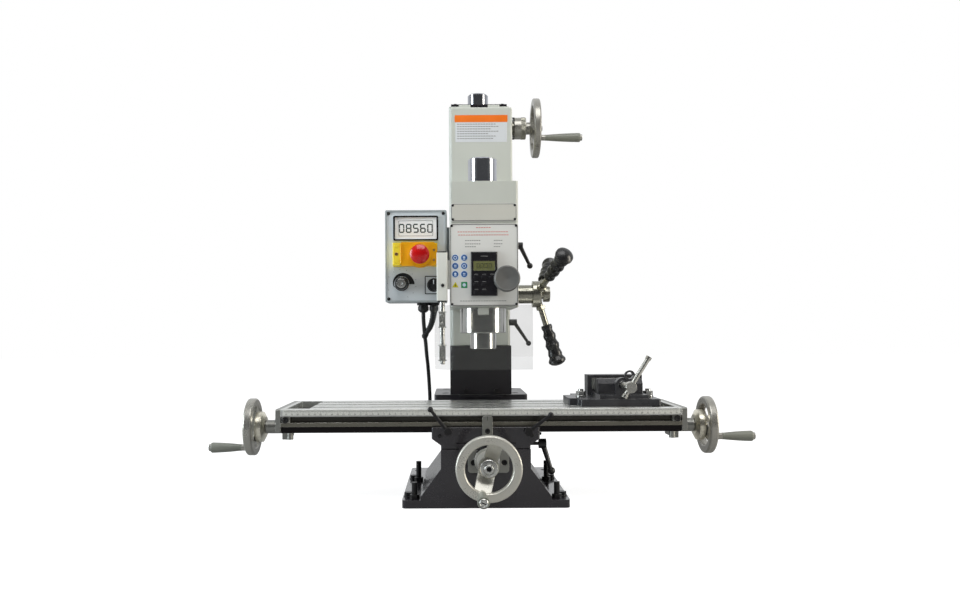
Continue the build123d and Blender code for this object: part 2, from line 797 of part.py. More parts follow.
# ==== Quill feed ====
hub_end = 111
rod_tilt = 17  # degrees that the rods lean outwards
rod_start = 16
rod_end = 118
rod_radius = 5.5
grip_start = 61
grip_end = 141
rod_angles = (-90, 30, 150)  # from +Y towards +Z


def rod_plane(angle):
    """A plane on the hub centre whose normal runs out along one feed rod."""
    lean = sin(radians(rod_tilt))
    reach = cos(radians(rod_tilt))
    direction = (lean, reach * cos(radians(angle)), reach * sin(radians(angle)))
    return Plane(origin=(103, feed_y, feed_z), z_dir=direction)


with BuildPart() as feed_hub:
    bar(feed_axis, 7, -16, head_half + 5)
    bar(feed_axis, pinion_radius, -12, 12)
    bar(feed_axis, 14.2, 34, 44)
    bar(feed_axis, 17.5, head_half + 0.3, 96)
    bar(feed_axis, 25, 95, hub_end)
    chamfer(feed_hub.edges().filter_by(GeomType.CIRCLE).group_by(Axis.X)[-1], length=2)
    bar(feed_axis, 9, hub_end - 1, 116)
    bar(feed_axis, 14, 115, 127.5)
    for angle in rod_angles:
        bar(rod_plane(angle), rod_radius, rod_start, rod_end)
save(feed_hub, "feed_hub")

with BuildPart() as feed_grips:
    for angle in rod_angles:
        rod = rod_plane(angle)
        length = grip_end - grip_start
        with BuildSketch(Plane(origin=rod.origin, x_dir=rod.x_dir, z_dir=-rod.y_dir)) as profile:
            with BuildLine():
                Polyline(
                    (rod_radius + running_gap, grip_start),
                    (11.5, grip_start),
                    (12.5, grip_start + 0.08 * length),
                    (9.5, grip_start + 0.12 * length),
                    (11.5, grip_start + 0.7 * length),
                    (10.5, grip_start + 0.78 * length),
                    (16.5, grip_start + 0.82 * length),
                )
                dome(16.5, grip_start + 0.82 * length, grip_end)
                Polyline(
                    (0, grip_end),
                    (0, rod_end + 1),
                    (rod_radius + running_gap, rod_end + 1),
                    (rod_radius + running_gap, grip_start),
                )
            make_face()
        revolve(profile.sketch, axis=Axis(rod.origin, rod.z_dir))
save(feed_grips, "feed_grips")

# ==== Spindle guard ====
guard_axis = axis_along((0, 0, 1), guard_x, guard_y)
guard_post_low = 359

with BuildPart() as guard_arm:
    block((-84, -65), (-71, -49), (guard_post_low, 444))
    fillet(guard_arm.edges().filter_by(Axis.Z), radius=2)
    block((-66, -head_half - 0.2), (-62, -50), (380, 430))
    bar(guard_axis, 4.5 + running_gap, guard_post_low - 1, 382, Mode.SUBTRACT)
save(guard_arm, "guard_arm")

with BuildPart() as guard_rod:
    bar(guard_axis, 4.5, 246, 381)
    for low in (253, 312):
        block((-80, -69), (-71.5, -54), (low, low + 27))
save(guard_rod, "guard_rod")

with BuildPart() as guard_shield:
    with BuildSketch(Plane.XY.offset(238)):
        with BuildLine():
            FilletPolyline((-87, -66), (-56, -104), (82, -104), radius=8)
        trace(line_width=3)
    extrude(amount=112)
save(guard_shield, "guard_shield")

# ==== Control box ====
readout_low = 474
estop_low = 425
estop_high = 469
estop_x = -115.4
estop_hinge = (-150.5, -12.5)
estop_z = 445
speed_place = (-151, 393.5)
selector_place = (-91, 391)

with BuildPart() as control_box:
    block((box_left, box_right), (panel_y + 4.01, 77), (box_low, box_high))
    fillet(control_box.edges().filter_by(Axis.Y), radius=3)
    block((box_left + 3, box_right - 3), (panel_y + 4, 74), (box_low + 3, box_high - 3), Mode.SUBTRACT)
    # Hollow spacer through which the wires reach the head
    block((box_right - 1, -head_half - 0.05), (25, 55), (440, 500))
    block((box_right - 4, -head_half), (30, 50), (445, 495), Mode.SUBTRACT)
save(control_box, "control_box")

with BuildPart() as control_box_lid:
    block((box_left, box_right), (panel_y, panel_y + 4), (box_low, box_high))
    fillet(control_box_lid.edges().filter_by(Axis.Y), radius=3)
    # Window of the speed readout
    block((-161, -87), (panel_y - 1, panel_y + 5), (478, 516), Mode.SUBTRACT)
    # Bezel around the window
    block((-166, -82.5), (panel_y - 2.5, panel_y + 0.5), (readout_low, 520))
    block((-162.5, -86), (panel_y - 3, panel_y + 1), (477, 517), Mode.SUBTRACT)
    for x, z in (speed_place, selector_place):
        bar(axis_along((0, -1, 0), x, 0, z), 3.1, -panel_y - 5, -panel_y + 1, Mode.SUBTRACT)
save(control_box_lid, "control_box_lid")

with BuildPart() as estop_housing:
    block((-166, -84), (5, panel_y - 0.05), (estop_low, estop_high))
    block((-166, -151), (-11.5, 6), (estop_low + 1, estop_high - 1))
    fillet(estop_housing.edges().filter_by(Axis.Z).group_by(Axis.Y)[0], radius=2)
save(estop_housing, "estop_housing")

with BuildPart() as estop_cover:
    block((-150, -84), (-12, 4.8), (estop_low, estop_high))
    fillet(estop_cover.edges().filter_by(Axis.Y).group_by(Axis.X)[-1], radius=9)
    bar(axis_along((0, -1, 0), estop_x, 0, estop_z), 21, 11, 16)
    bar(axis_along((0, -1, 0), estop_x, 0, estop_z), 8.4, -6, 17, Mode.SUBTRACT)
    # Hinge pin beside the housing
    bar(axis_along((0, 0, 1), *estop_hinge), 1.5, estop_low + 4, estop_high - 4)
save(estop_cover, "estop_cover")

with BuildPart() as estop_button:
    press_axis = axis_along((0, -1, 0), estop_x, 0, estop_z)
    bar(press_axis, 17.5, 26, 34)
    with BuildSketch(Plane(origin=press_axis.origin, x_dir=(1, 0, 0), z_dir=(0, 0, 1))) as crown:
        with BuildLine():
            dome(17.5, -34, -40)
            Polyline((0, -40), (0, -33), (17.5, -33), (17.5, -34))
        make_face()
    revolve(crown.sketch, axis=Axis(press_axis.origin, (0, 1, 0)))
    bar(press_axis, 8, 4, 27)
save(estop_button, "estop_button")

with BuildPart() as speed_knob:
    turn_axis = axis_along((0, -1, 0), speed_place[0], 0, speed_place[1])
    bar(turn_axis, 12.5, -panel_y + 0.3, 6)
    chamfer(speed_knob.edges().group_by(Axis.Y)[0], length=1)
    bar(turn_axis, 3, -panel_y - 12, 0)
save(speed_knob, "speed_knob")

with BuildPart() as selector_knob:
    turn_axis = axis_along((0, -1, 0), selector_place[0], 0, selector_place[1])
    bar(turn_axis, 10.5, -panel_y + 2.5, -4)
    block(
        (selector_place[0] - 3, selector_place[0] + 3),
        (-8, 5),
        (selector_place[1] - 10, selector_place[1] + 10),
    )
    bar(turn_axis, 3, -panel_y - 10, -5)
save(selector_knob, "selector_knob")

with BuildPart() as control_cables:
    # Two glands under the box; the cables join and hang behind the table
    gland = axis_along((0, 0, 1), -112, 45)
    bar(gland, 9.5, 345, box_low - 0.05)
    bar(gland, 8, 331, 346)
    bar(axis_along((0, 0, 1), -92, 45), 8, 342, box_low - 0.05)
    with BuildLine():
        FilletPolyline(
            (-112, 45, 333),
            (-112, 45, 303),
            (-109, 128, 262),
            (-104, 170, 205),
            (-104, 170, 104),
            radius=(18, 60, 30),
        )
    with BuildSketch(Plane(origin=(-112, 45, 333), z_dir=(0, 0, -1))):
        Circle(3.6)
    sweep()
    with BuildLine():
        FilletPolyline((-92, 45, 344), (-92, 45, 328), (-111, 56, 303), radius=12)
    with BuildSketch(Plane(origin=(-92, 45, 344), z_dir=(0, 0, -1))):
        Circle(4.6)
    sweep()
save(control_cables, "control_cables")

# ==== Machine vise ====
vise_axis = axis_along((0, -1, 0), vise_screw_x, 0, vise_screw_z)
vise_floor = table_top + 0.05
vise_bolt_places = ((180, 0), (304, 0))

with BuildPart() as vise_body:
    block((170, 312), (-68, 75), (vise_floor, 183))
    block((152, 171), (-40, 40), (vise_floor, 183))
    fillet(vise_body.edges().filter_by(Axis.Z), radius=4)
    block((205, 292), (-62, 31), (182, 190))
    block((197, 300), (30, 65), (182, 221))
    # Separate lug that holds the screw
    block((vise_screw_x - 13, vise_screw_x + 13), (-62, -48), (190.05, vise_screw_z))
    bar(vise_axis, 13, 48, 62)
    bar(vise_axis, 7.6, 40, 70, Mode.SUBTRACT)
    with Locations(*[(x, y, 183) for x, y in vise_bolt_places]):
        Hole(5 + running_gap, depth=14)
save(vise_body, "vise_body")

with BuildPart() as vise_bolts:
    # T-slot bolts with nuts and washers, in the middle slot
    for x, y in vise_bolt_places:
        upright = axis_along((0, 0, 1), x, y)
        block((x - 8, x + 8), (y - 8, y + 8), (153.5, 159.5))
        bar(upright, 4.95, 158, 197)
        bar(upright, 9.5, 183.01, 185)
        hexagon(upright, 16, 185, 193)
save(vise_bolts, "vise_bolts")

with BuildPart() as vise_jaw:
    block((208, 289), (-25, 5), (190.1, 216))
    chamfer(vise_jaw.edges().filter_by(Axis.X).group_by(Axis.Z)[-1].sort_by(Axis.Y)[0], length=8)
save(vise_jaw, "vise_jaw")

handle_angle = 58
handle_out = 124  # far enough out for the handle to clear the table edge with the jaws shut

with BuildPart() as vise_screw:
    bar(vise_axis, 6, 25.2, handle_out)
    bar(vise_axis, 9.5, handle_out - 9, handle_out + 9)
    tilt = (cos(radians(handle_angle)), 0, sin(radians(handle_angle)))
    handle = Plane(origin=(vise_screw_x, -handle_out, vise_screw_z), z_dir=tilt)
    bar(handle, 4.2, -18, 58)
    for end in (-18, 58):
        bar(handle, 5.2, end - 3, end + 3)
save(vise_screw, "vise_screw")
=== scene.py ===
from math import cos, pi, radians, sin

import bmesh
import bpy
from mathutils import Matrix, Vector


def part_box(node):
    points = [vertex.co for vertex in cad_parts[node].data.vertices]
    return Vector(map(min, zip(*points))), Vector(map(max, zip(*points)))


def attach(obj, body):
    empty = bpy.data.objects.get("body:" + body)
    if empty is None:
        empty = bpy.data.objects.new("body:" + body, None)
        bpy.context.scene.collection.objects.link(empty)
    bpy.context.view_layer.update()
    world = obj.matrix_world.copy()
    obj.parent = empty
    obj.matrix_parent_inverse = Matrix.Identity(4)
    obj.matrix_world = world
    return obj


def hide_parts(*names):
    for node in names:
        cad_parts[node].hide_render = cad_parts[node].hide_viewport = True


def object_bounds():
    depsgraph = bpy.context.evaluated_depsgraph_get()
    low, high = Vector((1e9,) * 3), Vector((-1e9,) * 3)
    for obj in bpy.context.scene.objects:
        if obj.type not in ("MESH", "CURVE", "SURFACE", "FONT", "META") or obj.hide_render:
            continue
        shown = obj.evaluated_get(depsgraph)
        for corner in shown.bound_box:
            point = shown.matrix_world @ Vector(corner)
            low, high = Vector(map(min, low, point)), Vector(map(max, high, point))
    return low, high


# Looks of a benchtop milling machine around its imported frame. Metres, +Z up, the front faces -Y.

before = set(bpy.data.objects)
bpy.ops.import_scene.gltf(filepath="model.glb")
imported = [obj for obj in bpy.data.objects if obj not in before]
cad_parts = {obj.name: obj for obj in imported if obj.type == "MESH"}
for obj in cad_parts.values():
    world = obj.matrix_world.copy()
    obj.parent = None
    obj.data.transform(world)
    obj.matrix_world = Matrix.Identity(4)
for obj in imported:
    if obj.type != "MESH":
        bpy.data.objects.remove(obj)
cad_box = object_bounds()

MM = 0.001
FRONT = (0, -1, 0)
BACK = (0, 1, 0)
RIGHT = (1, 0, 0)
LEFT = (-1, 0, 0)
UP = (0, 0, 1)
DOWN = (0, 0, -1)


# ---- Places ----
def facing(origin, normal, turn=0.0):
    """A matrix whose local Z is the normal and whose local Y is as upright as it can be."""
    out = Vector(normal).normalized()
    upright = Vector(BACK) if abs(out.z) > 0.99 else Vector(UP)
    side = upright.cross(out).normalized()
    place = Matrix((side, out.cross(side), out)).transposed().to_4x4()
    place.translation = Vector(origin)
    return place @ Matrix.Rotation(turn, 4, "Z")


def spot(node, x=0.5, y=0.5, z=0.5):
    """A point of a node's box, each coordinate given as a share of its side."""
    low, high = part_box(node)
    return Vector([low[i] + share * (high[i] - low[i]) for i, share in enumerate((x, y, z))])


def shifted(place, x=0.0, y=0.0, z=0.0):
    """A place moved along its own axes, in millimetres."""
    return place @ Matrix.Translation((x * MM, y * MM, z * MM))


# ---- Mesh building. Sizes are in millimetres in a place's own axes. ----
def raised(place, points, height):
    return [place @ Vector((x * MM, y * MM, height * MM)) for x, y in points]


def skin(bm, loops, material=0, closed=False, capped=True):
    """Faces between loops that have the same number of points."""
    made = [[bm.verts.new(p) for p in loop] for loop in loops]
    pairs = list(zip(made, made[1:] + made[:1])) if closed else list(zip(made, made[1:]))
    faces = []
    for low, high in pairs:
        for k in range(len(low)):
            n = (k + 1) % len(low)
            faces.append(bm.faces.new((low[k], low[n], high[n], high[k])))
    if capped and not closed:
        faces.append(bm.faces.new(made[0][::-1]))
        faces.append(bm.faces.new(made[-1]))
    for face in faces:
        face.material_index = material


def reach(radius, angle, kind, k):
    """The radius of a ring at an angle: round, knurled or a polygon of so many sides."""
    if kind == "knurl":
        return radius * (1.0 if k % 2 else 0.972)
    if kind:
        half = pi / kind
        return radius / cos(angle % (2 * half) - half)
    return radius


def lathe(bm, place, profile, steps=36, material=0):
    """Turns (radius, height) or (radius, height, kind) points about a place's Z axis."""
    rings = []
    for point in profile:
        radius, height = point[:2]
        kind = point[2] if len(point) > 2 else 0
        if radius == 0:
            rings.append([bm.verts.new(place @ Vector((0, 0, height * MM)))])
            continue
        ring = []
        for k in range(steps):
            angle = 2 * pi * k / steps
            r = reach(radius, angle, kind, k) * MM
            ring.append(bm.verts.new(place @ Vector((r * cos(angle), r * sin(angle), height * MM))))
        rings.append(ring)
    faces = []
    for low, high in zip(rings, rings[1:]):
        for k in range(steps):
            n = (k + 1) % steps
            if len(low) == 1:
                corners = [low[0], high[n], high[k]]
            elif len(high) == 1:
                corners = [low[k], low[n], high[0]]
            else:
                corners = [low[k], low[n], high[n], high[k]]
            faces.append(bm.faces.new(corners))
    for face in faces:
        face.material_index = material


def rounded(width, height, corner, steps=4, x=0.0, y=0.0):
    """Points of a rectangle with round corners."""
    points = []
    for quarter, (sx, sy) in enumerate(((1, 1), (-1, 1), (-1, -1), (1, -1))):
        for k in range(steps + 1):
            angle = (quarter + k / steps) * pi / 2
            px = x + sx * (width / 2 - corner) + corner * cos(angle)
            py = y + sy * (height / 2 - corner) + corner * sin(angle)
            points.append((px, py))
    return points


def disc(radius, steps=28, x=0.0, y=0.0):
    return [
        (x + radius * cos(2 * pi * k / steps), y + radius * sin(2 * pi * k / steps))
        for k in range(steps)
    ]


def shrunk(points, amount):
    """An outline with each point moved towards the middle."""
    middle = Vector([sum(c) / len(points) for c in zip(*points)])
    out = []
    for point in points:
        arm = Vector(point) - middle
        out.append(tuple(middle + arm * max(0.0, 1 - amount / arm.length)))
    return out


def plate(bm, place, outline, low, high, edge=0.15, material=0):
    """A plate on an outline from one height to another, its outer edge bevelled."""
    loops = [
        raised(place, outline, low),
        raised(place, outline, high - edge),
        raised(place, shrunk(outline, edge), high),
    ]
    skin(bm, loops, material)


def border(bm, place, outer, inner, low, high, material=0):
    """A raised frame between two outlines with the same number of points."""
    loops = [
        raised(place, outer, low),
        raised(place, outer, high),
        raised(place, inner, high),
        raised(place, inner, low),
    ]
    skin(bm, loops, material, closed=True)


def bar(bm, place, width, height, low, high, x=0.0, y=0.0, corner=0.0, material=0):
    """A small bar or bead with soft corners."""
    small = corner or min(width, height) * 0.15
    plate(bm, place, rounded(width, height, small, 2, x, y), low, high, min(0.15, small), material)


def smooth_path(points, steps=8):
    """Points of a curve that passes through the given points."""
    ends = [points[0]] + list(points) + [points[-1]]
    path = []
    for a, b, c, d in zip(ends, ends[1:], ends[2:], ends[3:]):
        for k in range(steps):
            t = k / steps
            bend = 2 * a - 5 * b + 4 * c - d
            twist = 3 * b - a - 3 * c + d
            path.append(0.5 * (2 * b + (c - a) * t + bend * t**2 + twist * t**3))
    return path + [points[-1]]


def tube(bm, path, radius, steps=14, material=0):
    """A round tube along a path. The radius is in millimetres, or a function of the distance."""
    side = Vector(RIGHT)
    loops = []
    run = 0.0
    for k, point in enumerate(path):
        along = (path[min(k + 1, len(path) - 1)] - path[max(k - 1, 0)]).normalized()
        side = (side - along * side.dot(along)).normalized()
        other = along.cross(side)
        run += (point - path[k - 1]).length / MM if k else 0.0
        r = (radius(run) if callable(radius) else radius) * MM
        loops.append(
            [
                point + (side * cos(2 * pi * n / steps) + other * sin(2 * pi * n / steps)) * r
                for n in range(steps)
            ]
        )
    skin(bm, loops, material)


SEGMENTS = {
    "0": "abcdef", "1": "bc", "2": "abged", "3": "abgcd", "4": "fgbc",
    "5": "afgcd", "6": "afgedc", "7": "abc", "8": "abcdefg", "9": "abfgcd",
}
SEGMENT_BARS = {
    "a": (0, 1, 1, 0), "g": (0, 0, 1, 0), "d": (0, -1, 1, 0), "f": (-1, 0.5, 0, 1),
    "b": (1, 0.5, 0, 1), "e": (-1, -0.5, 0, 1), "c": (1, -0.5, 0, 1),
}


def digits(bm, place, text, height, low, high, weight=0.13, material=0):
    """Plain segment figures, centred on a place."""
    pitch = height * 0.78
    for n, figure in enumerate(text):
        x = (n - (len(text) - 1) / 2) * pitch
        for name in SEGMENTS[figure]:
            px, py, wide, tall = SEGMENT_BARS[name]
            half_w, half_h = height * 0.24, height * 0.43
            bar(
                bm,
                place,
                (2 * half_w if wide else 0) * 0.9 + height * weight * (0 if wide else 1),
                (half_h if tall else 0) * 0.9 + height * weight * (0 if tall else 1),
                low,
                high,
                x + px * half_w,
                py * half_h,
                material=material,
            )


def socket_screw(bm, place, radius, height, material=0, recess_shade=1):
    """A cap screw with a chamfered head and a hexagon socket, the socket coloured near black as
    painted shade.
    """
    key = radius * 0.5
    lathe(
        bm,
        place,
        (
            (0, -0.2), (radius, -0.2), (radius, height * 0.85), (radius * 0.9, height),
            (key * 1.12, height, 6),
        ),
        24,
        material,
    )
    rim, floor = (key * 1.12, height, 6), (key, height * 0.4, 6)
    recess = (rim, (key, height - 0.2, 6), floor, (0, height * 0.3))
    lathe(bm, place, recess, 24, recess_shade)


def round_screw(bm, place, radius, height, turn=0.6, material=0, recess_shade=1):
    """A domed screw head with a slot, the slot coloured near black as painted shade."""
    lathe(
        bm,
        place,
        (
            (0, -0.2), (radius, -0.2), (radius, height * 0.35), (radius * 0.8, height * 0.8),
            (radius * 0.4, height), (0, height),
        ),
        24,
        material,
    )
    slot = place @ Matrix.Rotation(turn, 4, "Z")
    bar(bm, slot, radius * 1.5, radius * 0.26, height * 0.5, height + 0.06, material=recess_shade)


def piece(name, bm, materials, body):
    """Turns a mesh under construction into a piece that rides on a body."""
    bmesh.ops.recalc_face_normals(bm, faces=bm.faces)
    mesh = bpy.data.meshes.new(name)
    bm.to_mesh(mesh)
    bm.free()
    for material in materials:
        mesh.materials.append(material)
    mesh.polygons.foreach_set("use_smooth", [True] * len(mesh.polygons))
    mesh.set_sharp_from_angle(angle=radians(33))
    made = bpy.data.objects.new(name, mesh)
    bpy.context.scene.collection.objects.link(made)
    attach(made, body)
    return made


# ---- Materials ----
def srgb(red, green, blue):
    """A colour from its display values between 0 and 255."""
    channel = [c / 255 for c in (red, green, blue)]
    return [c / 12.92 if c <= 0.04045 else ((c + 0.055) / 1.055) ** 2.4 for c in channel] + [1.0]


def node(tree, kind, inputs=None, **settings):
    """Adds a shader node; inputs that are sockets are linked, others are set."""
    made = tree.nodes.new("ShaderNode" + kind)
    for key, value in settings.items():
        setattr(made, key, value)
    for key, value in (inputs or {}).items():
        if isinstance(value, bpy.types.NodeSocket):
            tree.links.new(value, made.inputs[key])
        else:
            made.inputs[key].default_value = value
    return made


def spread(tree, value, low, high, start=0.3, end=0.7):
    """Maps the middle of a noise to a range."""
    inputs = {"Value": value, "From Min": start, "From Max": end, "To Min": low, "To Max": high}
    return node(tree, "MapRange", inputs).outputs[0]


def blended(tree, factor, first, second):
    mixer = node(tree, "Mix", data_type="RGBA")
    for index, value in ((0, factor), (6, first), (7, second)):
        if isinstance(value, bpy.types.NodeSocket):
            tree.links.new(value, mixer.inputs[index])
        else:
            mixer.inputs[index].default_value = value
    return mixer.outputs[2]


def scaled(colour, factor):
    return [min(1.0, c * factor) for c in colour[:3]] + [1.0]


def turned_coordinates(tree, place, axis, centre):
    """Coordinates of distance along and around an axis, for the marks a lathe leaves."""
    offset = node(tree, "VectorMath", {0: place, 1: centre}, operation="SUBTRACT").outputs[0]
    along = node(tree, "VectorMath", {0: offset, 1: axis}, operation="DOT_PRODUCT").outputs["Value"]
    spine = node(tree, "VectorMath", {0: axis, "Scale": along}, operation="SCALE").outputs[0]
    arm = node(tree, "VectorMath", {0: offset, 1: spine}, operation="SUBTRACT").outputs[0]
    far = node(tree, "VectorMath", {0: arm}, operation="LENGTH").outputs["Value"]
    joined = node(tree, "CombineXYZ", {0: along, 1: far})
    return joined.outputs[0]


def finish(
    name,
    colour,
    rough,
    metal=0.0,
    tint=0.08,
    patch=25,
    rough_spread=0.08,
    grain=900,
    bump=0.15,
    wear=None,
    wear_width=0.6,
    coat=0.0,
    stretch=None,
    turned=None,
    foot=None,
    bands=(),
    thread=None,
):
    """A node material: patchy colour, uneven gloss, fine grain, and worn or rounded edges."""
    material = bpy.data.materials.new(name)
    material.use_nodes = True
    tree = material.node_tree
    shader = tree.nodes["Principled BSDF"]
    place = node(tree, "TexCoord").outputs["Object"]
    fine_place = place
    if stretch:
        fine_place = node(tree, "Mapping", {"Vector": place, "Scale": stretch}).outputs[0]
    if turned:
        fine_place = turned_coordinates(tree, place, *turned)
    patches = node(tree, "TexNoise", {"Vector": place, "Scale": patch, "Detail": 4.0}).outputs[0]
    fine = node(tree, "TexNoise", {"Vector": fine_place, "Scale": grain, "Detail": 3.0}).outputs[0]
    dull, pale = scaled(colour, 1 - tint), scaled(colour, 1 + tint)
    tone = blended(tree, spread(tree, patches, 0, 1), dull, pale)
    if stretch or turned:
        tone = blended(tree, spread(tree, fine, 0.0, 0.35), tone, scaled(colour, 1 - 2.5 * tint))
    if foot:
        height, lower = foot
        z = node(tree, "SeparateXYZ", {0: place}).outputs[2]
        tone = blended(tree, spread(tree, z, 1, 0, height - 0.0003, height + 0.0003), tone, lower)
    # Each band sets one colour over a height range, within reach_y of the middle plane. The table's
    # painted shade in its groove and lip is made this way.
    for low, high, reach_y, shade in bands:
        x, y, z = node(tree, "SeparateXYZ", {0: place}).outputs
        middle, half = (low + high) / 2, (high - low) / 2
        inside = node(tree, "Math", {0: z, 1: middle, 2: half}, operation="COMPARE")
        deep = node(tree, "Math", {0: y, 1: 0.0, 2: reach_y}, operation="COMPARE")
        both = node(tree, "Math", {0: inside.outputs[0], 1: deep.outputs[0]}, operation="MULTIPLY")
        tone = blended(tree, both.outputs[0], tone, shade)
    rounding = node(tree, "Bevel", {"Radius": wear_width * MM}, samples=4).outputs[0]
    if wear:
        flat = node(tree, "NewGeometry").outputs["Normal"]
        turn = node(tree, "VectorMath", {0: rounding, 1: flat}, operation="DOT_PRODUCT")
        edge = spread(tree, turn.outputs["Value"], 1, 0, 0.86, 0.985)
        chips = spread(tree, patches, 0, 1, 0.42, 0.62)
        worn = node(tree, "Math", {0: edge, 1: chips}, operation="MULTIPLY").outputs[0]
        tone = blended(tree, worn, tone, wear)
    gloss = node(tree, "Math", {0: patches, 1: fine}, operation="ADD").outputs[0]
    tree.links.new(tone, shader.inputs["Base Color"])
    low, high = max(0.03, rough - rough_spread), rough + rough_spread
    tree.links.new(spread(tree, gloss, low, high, 0.75, 1.25), shader.inputs["Roughness"])
    surface = {"Height": fine, "Normal": rounding, "Strength": bump, "Distance": 0.0003}
    if thread:
        axis_index, pitch = thread
        run = node(tree, "SeparateXYZ", {0: place}).outputs[axis_index]
        turns = node(tree, "Math", {0: run, 1: 2 * pi / (pitch * MM)}, operation="MULTIPLY")
        surface["Height"] = node(tree, "Math", {0: turns.outputs[0]}, operation="SINE").outputs[0]
    tree.links.new(node(tree, "Bump", surface).outputs[0], shader.inputs["Normal"])
    shader.inputs["Metallic"].default_value = metal
    shader.inputs["Coat Weight"].default_value = coat
    shader.inputs["Coat Roughness"].default_value = 0.08
    return material


def clear_finish(name, tone, clearness, rough):
    """A thin clear sheet: a faint even haze, more solid where it is seen edge on."""
    material = bpy.data.materials.new(name)
    material.use_nodes = True
    tree = material.node_tree
    shader = tree.nodes["Principled BSDF"]
    place = node(tree, "TexCoord").outputs["Object"]
    haze = node(tree, "TexNoise", {"Vector": place, "Scale": 18.0, "Detail": 4.0}).outputs[0]
    scratches = node(
        tree, "TexNoise", {"Vector": place, "Scale": 260.0, "Detail": 2.0, "Distortion": 1.5}
    ).outputs[0]
    tree.links.new(
        blended(tree, haze, scaled(tone, 0.93), scaled(tone, 1.05)), shader.inputs["Base Color"]
    )
    grazing = node(tree, "LayerWeight", {"Blend": 0.28}).outputs["Facing"]
    film = spread(tree, haze, 1 - clearness - 0.025, 1 - clearness + 0.025)
    rim = spread(tree, grazing, 0.0, 0.6, 0.45, 1.0)
    total = node(tree, "Math", {0: film, 1: rim}, operation="ADD", use_clamp=True).outputs[0]
    tree.links.new(total, shader.inputs["Alpha"])
    tree.links.new(spread(tree, scratches, rough * 0.7, rough * 1.6), shader.inputs["Roughness"])
    ripple = node(tree, "Bump", {"Height": haze, "Strength": 0.05, "Distance": 0.0004})
    tree.links.new(ripple.outputs[0], shader.inputs["Normal"])
    return material


steel_tone = srgb(205, 205, 202)
black_tone = srgb(34, 31, 36)

enamel = finish(
    "black_enamel", black_tone, 0.22, tint=0.18, patch=35, grain=420, bump=0.22, coat=0.5,
    wear=srgb(70, 68, 70), wear_width=0.9,
)
head_paint = finish(
    "grey_paint", srgb(197, 200, 192), 0.38, tint=0.025, patch=12, grain=700, bump=0.14, coat=0.15,
    wear=srgb(222, 224, 218), wear_width=1.0,
)
box_paint = finish(
    "box_paint", srgb(170, 177, 179), 0.42, tint=0.04, patch=14, grain=900, bump=0.12,
    wear=srgb(120, 126, 128), wear_width=0.8,
)
# The lid's pale paint, made lighter still to lift the shade under the e-stop housing: partly its
# own colour, partly painted light.
lid_paint_with_painted_light = finish(
    "lid_paint_with_painted_light", srgb(218, 224, 227), 0.38, tint=0.035, patch=16, grain=900, bump=0.12,
    wear=srgb(130, 138, 140), wear_width=0.8,
)
arm_paint = finish(
    "arm_paint", srgb(226, 227, 219), 0.4, tint=0.03, patch=20, bump=0.12,
    wear=srgb(200, 200, 190), wear_width=0.8,
)
ground_table = finish(
    "ground_iron", srgb(212, 213, 209), 0.31, metal=0.8, tint=0.022, patch=9, grain=160, bump=0.03,
    stretch=(0.4, 14, 14), wear=srgb(226, 224, 216), wear_width=0.7,
    # Bands by height: near black below 138.6 mm. A grey band up to 147.2 mm under the front groove
    # and a dark groove back behind the front face are both painted shade.
    bands=(
        (-1.0, 0.1386, 1.0, srgb(34, 31, 32)), (0.1386, 0.1472, 1.0, srgb(122, 119, 109)),
        (0.1466, 0.1569, 0.0896, srgb(68, 66, 61)),
    ),
)
bracket_steel = finish(
    "bracket_steel", srgb(146, 146, 141), 0.36, metal=0.8, tint=0.06, grain=700, bump=0.15,
    wear=srgb(205, 203, 198), wear_width=0.7,
)
dark_steel = finish(
    "dark_steel", srgb(38, 37, 38), 0.36, metal=0.5, tint=0.15, grain=1100, bump=0.12,
    wear=srgb(110, 108, 104), wear_width=0.4,
)
# Near black for hexagon sockets, screw slots and screw holes: painted shade in these recesses. Also
# the ink of the table pointer's index line.
recess_shade_and_ink = finish("recess_shade_and_ink", srgb(14, 14, 15), 0.6, tint=0.2, grain=1200, bump=0.2)
bright_screw = finish(
    "bright_screw", srgb(196, 196, 192), 0.24, metal=0.95, tint=0.05, grain=900, bump=0.1,
)
rubber = finish(
    "black_rubber", srgb(30, 27, 31), 0.5, tint=0.12, patch=10, rough_spread=0.1, grain=1500,
    bump=0.25,
)
cable_rubber = finish(
    "cable_rubber", srgb(17, 17, 19), 0.42, tint=0.2, patch=60, grain=1300, bump=0.2,
)
moulded = finish(
    "black_plastic", srgb(28, 28, 29), 0.3, tint=0.12, patch=50, grain=1600, bump=0.18, coat=0.1,
    wear=srgb(60, 60, 58), wear_width=0.5,
)
grip_grey = finish(
    "grip_plastic", srgb(124, 126, 117), 0.4, tint=0.05, patch=60, grain=1800, bump=0.15,
)
wheel_finish = finish(
    "wheel_alloy", srgb(166, 164, 157), 0.32, metal=0.7, tint=0.04, patch=24, grain=700, bump=0.07,
    wear=srgb(205, 203, 195), wear_width=0.6,
)
# A paler, less metallic copy of the wheel alloy for the front handwheel: painted light.
lit_front_wheel_finish = finish(
    "lit_front_wheel_alloy", srgb(200, 198, 189), 0.34, metal=0.55, tint=0.04, patch=24, grain=700,
    bump=0.06, wear=srgb(228, 226, 218), wear_width=0.6,
)


def glossy(name, colour, rough=0.42, tint=0.1, bump=0.08, **more):
    """Bright plastic, print or display glass, with a very fine grain."""
    return finish(name, colour, rough, tint=tint, grain=1500, bump=bump, **more)


